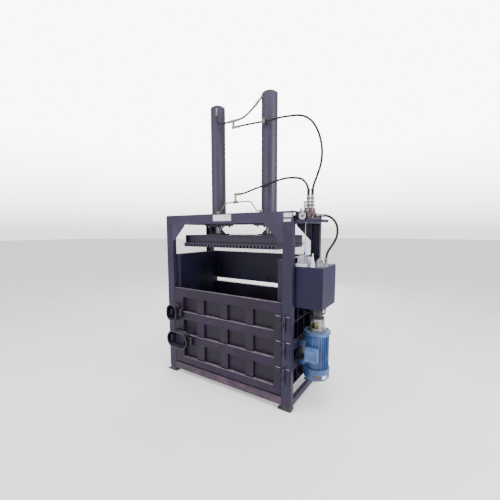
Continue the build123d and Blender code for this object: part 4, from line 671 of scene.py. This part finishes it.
for x, z, across in plugs:
    hexagon(valve_parts, across, plug_high, upright_on((x, valve_front, z), (0, -1, 0)))
    turned(valve_parts, [(0.0, plug_high), (across * 0.32, plug_high), (across * 0.30, plug_end),
                         (0.0, plug_end)], upright_on((x, valve_front, z), (0, -1, 0)), steps=18)
hexagon(valve_parts, relief_across, relief_high, upright_on(relief_place))
turned(valve_parts, relief_cap, upright_on(relief_place), steps=20)
for x in port_places:
    for across, high, z in port_nuts:
        hexagon(valve_parts, across, high, upright_on((x, port_y, z)))
put_in_scene("valve_screwed_parts", valve_parts, zinc, "frame")

# Shelf bolts: two hexagon bolts of zinc plated steel, put in from below
# through the shelf's sheet into the valve's feet.
shelf_thick = 0.006
shelf_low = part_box("valve_shelf")[1].z - shelf_thick
shelf_bolt_places, shelf_bolt_y = (0.890, 1.014), -0.230
shelf_bolt_across, shelf_bolt_high = 0.013, 0.008
shelf_bolts = bmesh.new()
for x in shelf_bolt_places:
    hexagon(shelf_bolts, shelf_bolt_across, shelf_bolt_high,
            upright_on((x, shelf_bolt_y, shelf_low), (0, 0, -1)))
put_in_scene("shelf_bolts", shelf_bolts, zinc, "frame")


# Pressure gauge: a chromed brass case with a grey white enamelled dial, plain
# printed marks and a thin needle, all in dull black. The case is bright and
# mirrors the room.
gauge_chrome = surface("chromed_brass", ("#86878B", "#A1A2A6", "#BDBEC2"), 25.0, 0.18, 1.0,
                       0.005, metallic=1.0, spread=0.04)
dress(gauge_chrome, "pressure_gauge")
dial_white = surface("white_enamelled_tin", ("#8C8B92", "#A3A2A9", "#B5B4BA"), 12.0, 0.42, 1.0,
                     0.002, coat=0.6, bump=0.05)
gauge_low, gauge_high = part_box("pressure_gauge")
gauge_mid = (gauge_low + gauge_high) / 2
dial_radius, dial_thick = 0.0258, 0.0011
dial_y = gauge_low.y + 0.004
dial = bmesh.new()
turned(dial, [(0.0, 0.0), (dial_radius, 0.0), (dial_radius, dial_thick), (0.0, dial_thick)],
       upright_on((gauge_mid.x, dial_y, gauge_mid.z), (0, -1, 0)), steps=40)
put_in_scene("gauge_dial", dial, dial_white, "frame")
dial_ink = surface("black_printing_ink", ("#121115", "#19181C", "#222126"), 8.0, 0.45, 1.0, 0.002,
                   bump=0.05)


def bar_on_dial(mesh, wide, thick, long, forward, turn, out):
    # A thin bar in front of the dial, turned about its centre and moved out
    made = bmesh.ops.create_cube(mesh, size=1.0)
    bmesh.ops.scale(mesh, vec=(wide, thick, long), verts=made["verts"])
    bmesh.ops.transform(mesh, verts=made["verts"],
                        matrix=Matrix.Translation((gauge_mid.x, dial_y - forward, gauge_mid.z))
                        @ Matrix.Rotation(turn, 4, "Y") @ Matrix.Translation((0, 0, out)))


first_mark, mark_turn, mark_count = 225, 9, 31
mark_wide, mark_thick, long_mark, short_mark = 0.0006, 0.0004, 0.0055, 0.003
mark_forward, mark_inset = 0.0013, 0.002
needle_wide, needle_thick, needle_long, needle_turn = 0.0012, 0.0005, 0.024, -128
needle_forward = 0.0017
hub_radius, hub_thick, hub_forward = 0.0105, 0.0012, 0.0012
marks = bmesh.new()
for step in range(mark_count):
    angle = math.radians(first_mark - step * mark_turn)
    long = long_mark if step % 5 == 0 else short_mark
    bar_on_dial(marks, mark_wide, mark_thick, long, mark_forward, math.pi / 2 - angle,
                dial_radius - mark_inset - long / 2)
bar_on_dial(marks, needle_wide, needle_thick, needle_long, needle_forward,
            math.radians(needle_turn), needle_long / 3)
turned(marks, [(0.0, 0.0), (hub_radius, 0.0), (hub_radius - 0.0005, hub_thick), (0.0, hub_thick)],
       upright_on((gauge_mid.x, dial_y - hub_forward, gauge_mid.z), (0, -1, 0)), steps=16)
put_in_scene("gauge_marks", marks, dial_ink, "frame")


# Drain tube: a thin clear nylon tube that has yellowed, pushed into a blue
# fitting on the breather. It lets seeping oil back into the tank.
drain_nylon = surface("yellowed_nylon_tube", ("#A49A7C", "#BDB497", "#D0C8B0"), 40.0, 0.30, 1.5,
                      0.01)
drain_nylon.node_tree.nodes["Principled BSDF"].inputs["Transmission Weight"].default_value = 0.25
dress(drain_nylon, "drain_pipe")
push_fitting = surface("blue_moulded_acetal", ("#1F4A7C", "#2B6098", "#3E78AE"), 12.0, 0.34, 1.0,
                       0.01)
drain_low, drain_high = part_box("drain_pipe")
drain_radius = 0.0045
fitting_low = 1.470
fitting_shape = ((drain_radius, 0.0), (0.0090, 0.0), (0.0098, 0.002), (0.0098, 0.016),
                 (0.0080, 0.018), (0.0080, 0.024), (0.0092, 0.026), (0.0086, 0.029),
                 (drain_radius, 0.030))
fitting = bmesh.new()
turned(fitting, fitting_shape,
       upright_on((drain_low.x + drain_radius, (drain_low.y + drain_high.y) / 2, fitting_low)),
       steps=20)
put_in_scene("drain_push_fitting", fitting, push_fitting, "frame")


# Hoses: steel braided rubber hose of 20 mm, one smooth bend after the other.
# The cover is matt black rubber with the faint print of its cloth wrapping.
hose_rubber = surface("cloth_wrapped_nitrile_rubber", ("#120F12", "#1B171A", "#2B2527"), 12.0,
                      0.62, 1.2, 0.10, bump=0.5, ior=1.38)
hose_radius = 0.010
hose_places = {
    "hose_upper_left": [(-0.2245, -0.0473, 3.0100), (-0.2245, -0.0473, 2.9480),
                        (-0.1935, -0.0533, 2.8940), (-0.1395, -0.0630, 2.8620),
                        (-0.0675, -0.0750, 2.8560), (0.0000, -0.0750, 2.8560)],
    "hose_upper_right": [(0.0520, -0.0750, 2.8560), (0.1100, -0.0750, 2.8560),
                         (0.1720, -0.0740, 2.8720), (0.2260, -0.0680, 2.9060),
                         (0.2815, -0.0568, 2.9532), (0.3309, -0.0508, 3.0024)],
    "hose_upper_feed": [(0.0640, -0.0750, 2.7880), (0.1680, -0.0750, 2.7880),
                        (0.2980, -0.0740, 2.7840), (0.4380, -0.0720, 2.7760),
                        (0.5680, -0.0760, 2.7800), (0.7080, -0.0980, 2.7620),
                        (0.8280, -0.1380, 2.7320), (0.9360, -0.1840, 2.6620),
                        (1.0160, -0.2200, 2.5500), (1.0680, -0.2460, 2.4050),
                        (1.0710, -0.2560, 2.2620), (1.0230, -0.2560, 2.1300),
                        (0.9940, -0.2550, 2.0580), (0.9940, -0.2550, 1.9960)],
    "hose_lower_feed": [(0.0780, -0.0620, 2.0850), (0.1430, -0.0620, 2.0850),
                        (0.2380, -0.0620, 2.1120), (0.3580, -0.0680, 2.1400),
                        (0.4880, -0.0800, 2.1660), (0.6180, -0.1080, 2.1860),
                        (0.7230, -0.1500, 2.1840), (0.8100, -0.1920, 2.1680),
                        (0.8730, -0.2260, 2.1520), (0.9250, -0.2460, 2.1140),
                        (0.9570, -0.2550, 2.0540), (0.9570, -0.2550, 1.9960)],
    "hose_return": [(1.0700, -0.2550, 1.8170), (1.1170, -0.2550, 1.8170),
                    (1.1600, -0.2500, 1.7990), (1.1920, -0.2400, 1.7660),
                    (1.2110, -0.2290, 1.7190), (1.2070, -0.2170, 1.6440),
                    (1.1780, -0.2070, 1.5820), (1.1380, -0.2060, 1.5270),
                    (1.1110, -0.2060, 1.4670), (1.1110, -0.2060, 1.4040)],
}
for name, places in hose_places.items():
    line = bpy.data.curves.new(name, "CURVE")
    line.dimensions = "3D"
    line.bevel_depth = hose_radius
    line.bevel_resolution = 6
    line.resolution_u = 16
    line.use_fill_caps = True
    spline = line.splines.new("NURBS")
    spline.points.add(len(places) - 1)
    for point, place in zip(spline.points, places):
        point.co = (place[0], place[1], place[2], 1.0)
    spline.order_u = 3
    spline.use_endpoint_u = True
    hose = bpy.data.objects.new(name + "_line", line)
    scene.collection.objects.link(hose)
    line.materials.append(hose_rubber)
    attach(hose, "frame")
    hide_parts(name)

# Crimp sleeves: steel sleeves pressed on both ends of each hose, with the
# grooves that the press jaws leave. They are zinc plated, but at the valve
# the steel is blackened in oxide and oil, a dull black.
black_oxide = surface("black_oxide_on_steel", ("#1A161C", "#252029", "#352F3A"), 15.0, 0.40, 1.2,
                      0.02, metallic=0.6)
sleeve_in, sleeve_out, sleeve_edge = hose_radius + 0.0004, 0.0138, 0.001
plain_long, valve_long, cap_long = 0.042, 0.056, 0.064
first_groove, groove_pitch, groove_count, groove_deep = 0.005, 0.007, 5, 0.0016
valve_ports_z = hose_places["hose_upper_feed"][-1][2]
sleeves = bmesh.new()
dark_sleeves = bmesh.new()
for name, places in hose_places.items():
    for near, far in ((places[0], places[1]), (places[-1], places[-2])):
        at_valve = near[2] == valve_ports_z
        at_cap = name == "hose_upper_right" and near == places[-1]
        long = valve_long if at_valve else cap_long if at_cap else plain_long
        profile = [(sleeve_in, 0.0), (sleeve_out - sleeve_edge, 0.0), (sleeve_out, 0.002)]
        for groove in range(groove_count):
            low = first_groove + groove * groove_pitch
            profile += [(sleeve_out, low), (sleeve_out - groove_deep, low + 0.001),
                        (sleeve_out - groove_deep, low + 0.003), (sleeve_out, low + 0.004)]
        profile += [(sleeve_out, long - 0.002), (sleeve_out - sleeve_edge, long),
                    (sleeve_in, long)]
        turned(dark_sleeves if at_valve else sleeves, profile,
               upright_on(near, Vector(far) - Vector(near)), steps=20)
put_in_scene("crimp_sleeves", sleeves, zinc, "frame")
put_in_scene("crimp_sleeves_valve", dark_sleeves, black_oxide, "frame")

# Tee nuts: union nuts of yellow zinc plated steel on the arms of both tees,
# where pipes and hoses join.
tee_places = ((0.026, -0.075, 2.856), (0.039, -0.062, 2.000))
tee_arm, tee_nut_across, tee_nut_high = 0.014, 0.031, 0.011
tee_nuts = bmesh.new()
for centre in tee_places:
    for way in (-1, 1):
        start = Vector(centre) + Vector((way * tee_arm, 0, 0))
        hexagon(tee_nuts, tee_nut_across, tee_nut_high, upright_on(start, (way, 0, 0)))
put_in_scene("tee_nuts", tee_nuts, yellow_zinc, "frame")

# Hose clamp: a two part block of black polypropylene on a pad welded to the
# front of the right tube, with a steel cover plate and two bolts.
clamp_place = Vector((cylinder_places[1], -0.0735, 2.7780))
block_wide, block_deep, block_high, block_round = 0.030, 0.040, 0.046, 0.004
barrel_front = cylinder_y - outer_radius
clamp = bmesh.new()
block(clamp, (block_wide, block_deep, block_high), clamp_place)
eased(clamp, list(clamp.edges), block_round, steps=3)
put_in_scene("hose_clamp_block", clamp, nylon, "frame")
cover_thick, steel_wide, steel_round, pad_high = 0.003, 0.028, 0.0008, 0.050
clamp_bolt_out, clamp_bolt_up = 0.023, 0.0165
clamp_bolt_across, clamp_bolt_high = 0.010, 0.006
cover_y = clamp_place.y - block_deep / 2 - cover_thick / 2
pad_y = (clamp_place.y + block_deep / 2 + barrel_front) / 2 + 0.002
pad_deep = barrel_front - clamp_place.y - 0.016
clamp_steel = bmesh.new()
for y, deep, high in ((cover_y, cover_thick, block_high), (pad_y, pad_deep, pad_high)):
    block(clamp_steel, (steel_wide, deep, high), (clamp_place.x, y, clamp_place.z))
eased(clamp_steel, list(clamp_steel.edges), steel_round, steps=1)
for way in (-1, 1):
    place = clamp_place + Vector((0, -clamp_bolt_out, way * clamp_bolt_up))
    hexagon(clamp_steel, clamp_bolt_across, clamp_bolt_high, upright_on(place, (0, -1, 0)))
put_in_scene("hose_clamp_steel", clamp_steel, zinc, "frame")


# Label plates: thin aluminium, powder coated a satin white and left bare,
# riveted to the front of the top beam.
plate_white = surface("white_powder_coat_on_aluminium", ("#B9BAC9", "#CDCEDA", "#DCDDE6"), 30.0,
                      0.34, 2.0, 0.01, bump=0.1)
beam_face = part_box("top_front_beam")[0].y
label_thick, label_corner = 0.0012, 0.004
label_places = ((-0.029, 0.201, 1.786, 1.849), (0.776, 0.858, 1.806, 1.842),
                (0.776, 0.846, 1.768, 1.790))
rivet_inset = 0.005
rivet_shape = ((0.0, 0.0), (0.0022, 0.0), (0.0020, 0.0008), (0.0010, 0.0013), (0.0, 0.0014))
labels = bmesh.new()
rivets = bmesh.new()
for low_x, high_x, low_z, high_z in label_places:
    mid_z = (low_z + high_z) / 2
    block(labels, (high_x - low_x, label_thick, high_z - low_z),
          ((low_x + high_x) / 2, beam_face - label_thick / 2, mid_z))
    for x in (low_x + rivet_inset, high_x - rivet_inset):
        turned(rivets, rivet_shape, upright_on((x, beam_face - label_thick, mid_z), (0, -1, 0)),
               steps=12)
corners = [e for e in labels.edges if abs(e.verts[0].co.y - e.verts[1].co.y) > label_thick / 2]
eased(labels, corners, label_corner, steps=4)
put_in_scene("label_plates", labels, plate_white, "frame")
put_in_scene("label_rivets", rivets, anodised, "frame")


# Studio: a white room with a broad soft panel on the right, above, behind and
# in front, and a pale seamless floor. The backdrop whitens upwards and the
# floor glows a little, because the photograph's ground is nearly white.
room_strength = 1.1
horizon_strength, high_strength, high_from = 2.1, 9.0, 0.25
world = bpy.data.worlds.new("room")
world.use_nodes = True
room = world.node_tree.nodes["Background"]
room.inputs["Color"].default_value = (1.0, 1.0, 1.0, 1.0)
room.inputs["Strength"].default_value = room_strength
heading = node(world, "ShaderNodeSeparateXYZ",
               links={"Vector": node(world, "ShaderNodeTexCoord").outputs["Generated"]})
rise = node(world, "ShaderNodeMapRange", links={"Value": heading.outputs["Z"]},
            inputs={"From Min": 0.0, "From Max": high_from, "To Min": horizon_strength,
                    "To Max": high_strength})
backdrop = node(world, "ShaderNodeBackground", links={"Strength": rise.outputs["Result"]},
                inputs={"Color": (1.0, 1.0, 1.0, 1.0)})
seen = node(world, "ShaderNodeMixShader",
            links={0: node(world, "ShaderNodeLightPath").outputs["Is Camera Ray"],
                   1: room.outputs["Background"], 2: backdrop.outputs["Background"]})
world.node_tree.links.new(seen.outputs["Shader"],
                          world.node_tree.nodes["World Output"].inputs["Surface"])
scene.world = world
for name, place, target, size, watts in (
        ("right_panel", (5.2, -0.4, 3.0), (0.6, 0.0, 1.2), 3.0, 205.0),
        ("top_panel", (0.4, -1.2, 5.4), (0.0, 0.0, 0.8), 4.0, 200.0),
        ("back_panel", (-2.4, 5.2, 3.0), (0.0, 0.0, 1.2), 3.0, 160.0),
        ("front_panel", (-1.6, -5.0, 2.4), (0.0, 0.0, 0.9), 3.2, 85.0)):
    lamp = bpy.data.lights.new(name, "AREA")
    lamp.energy = watts
    lamp.size = size
    panel = bpy.data.objects.new(name, lamp)
    scene.collection.objects.link(panel)
    panel.location = place
    aim = Vector(target) - Vector(place)
    panel.rotation_euler = aim.to_track_quat("-Z", "Y").to_euler()
floor_paint = surface("matt_white_studio_floor", ("#EDECEC", "#F1F0F0", "#F5F4F4"), 900.0, 0.7,
                      8.0, 0.02, bump=0.05)
floor_shader = floor_paint.node_tree.nodes["Principled BSDF"]
floor_shader.inputs["Emission Color"].default_value = (1.0, 1.0, 1.0, 1.0)
floor_shader.inputs["Emission Strength"].default_value = 0.35
floor = bmesh.new()
bmesh.ops.create_grid(floor, x_segments=8, y_segments=8, size=60.0)
floor_data = bpy.data.meshes.new("studio_floor")
floor.to_mesh(floor_data)
floor.free()
floor_piece = bpy.data.objects.new("studio_floor", floor_data)
scene.collection.objects.link(floor_piece)
floor_data.materials.append(floor_paint)


# Camera: its place, tilt and lens come from a perspective fit of the posts
# and beams in the photograph, which is taken from the right at eye height.
camera_data = bpy.data.cameras.new("camera")
camera_data.sensor_width = 36.0
camera_data.lens = 20.75
camera_data.shift_x = 0.0046
camera_data.shift_y = 0.0188
camera_data.clip_start = 0.05
camera_data.clip_end = 60.0
camera = bpy.data.objects.new("camera", camera_data)
scene.collection.objects.link(camera)
camera_place = (1.9088, -2.6928, 1.6920)
pan = Matrix.Rotation(math.radians(33.06), 4, "Z")
tilt = Matrix.Rotation(math.radians(84.22), 4, "X")
roll = Matrix.Rotation(math.radians(-0.14), 4, "Z")
camera.matrix_world = Matrix.Translation(camera_place) @ pan @ tilt @ roll
scene.camera = camera
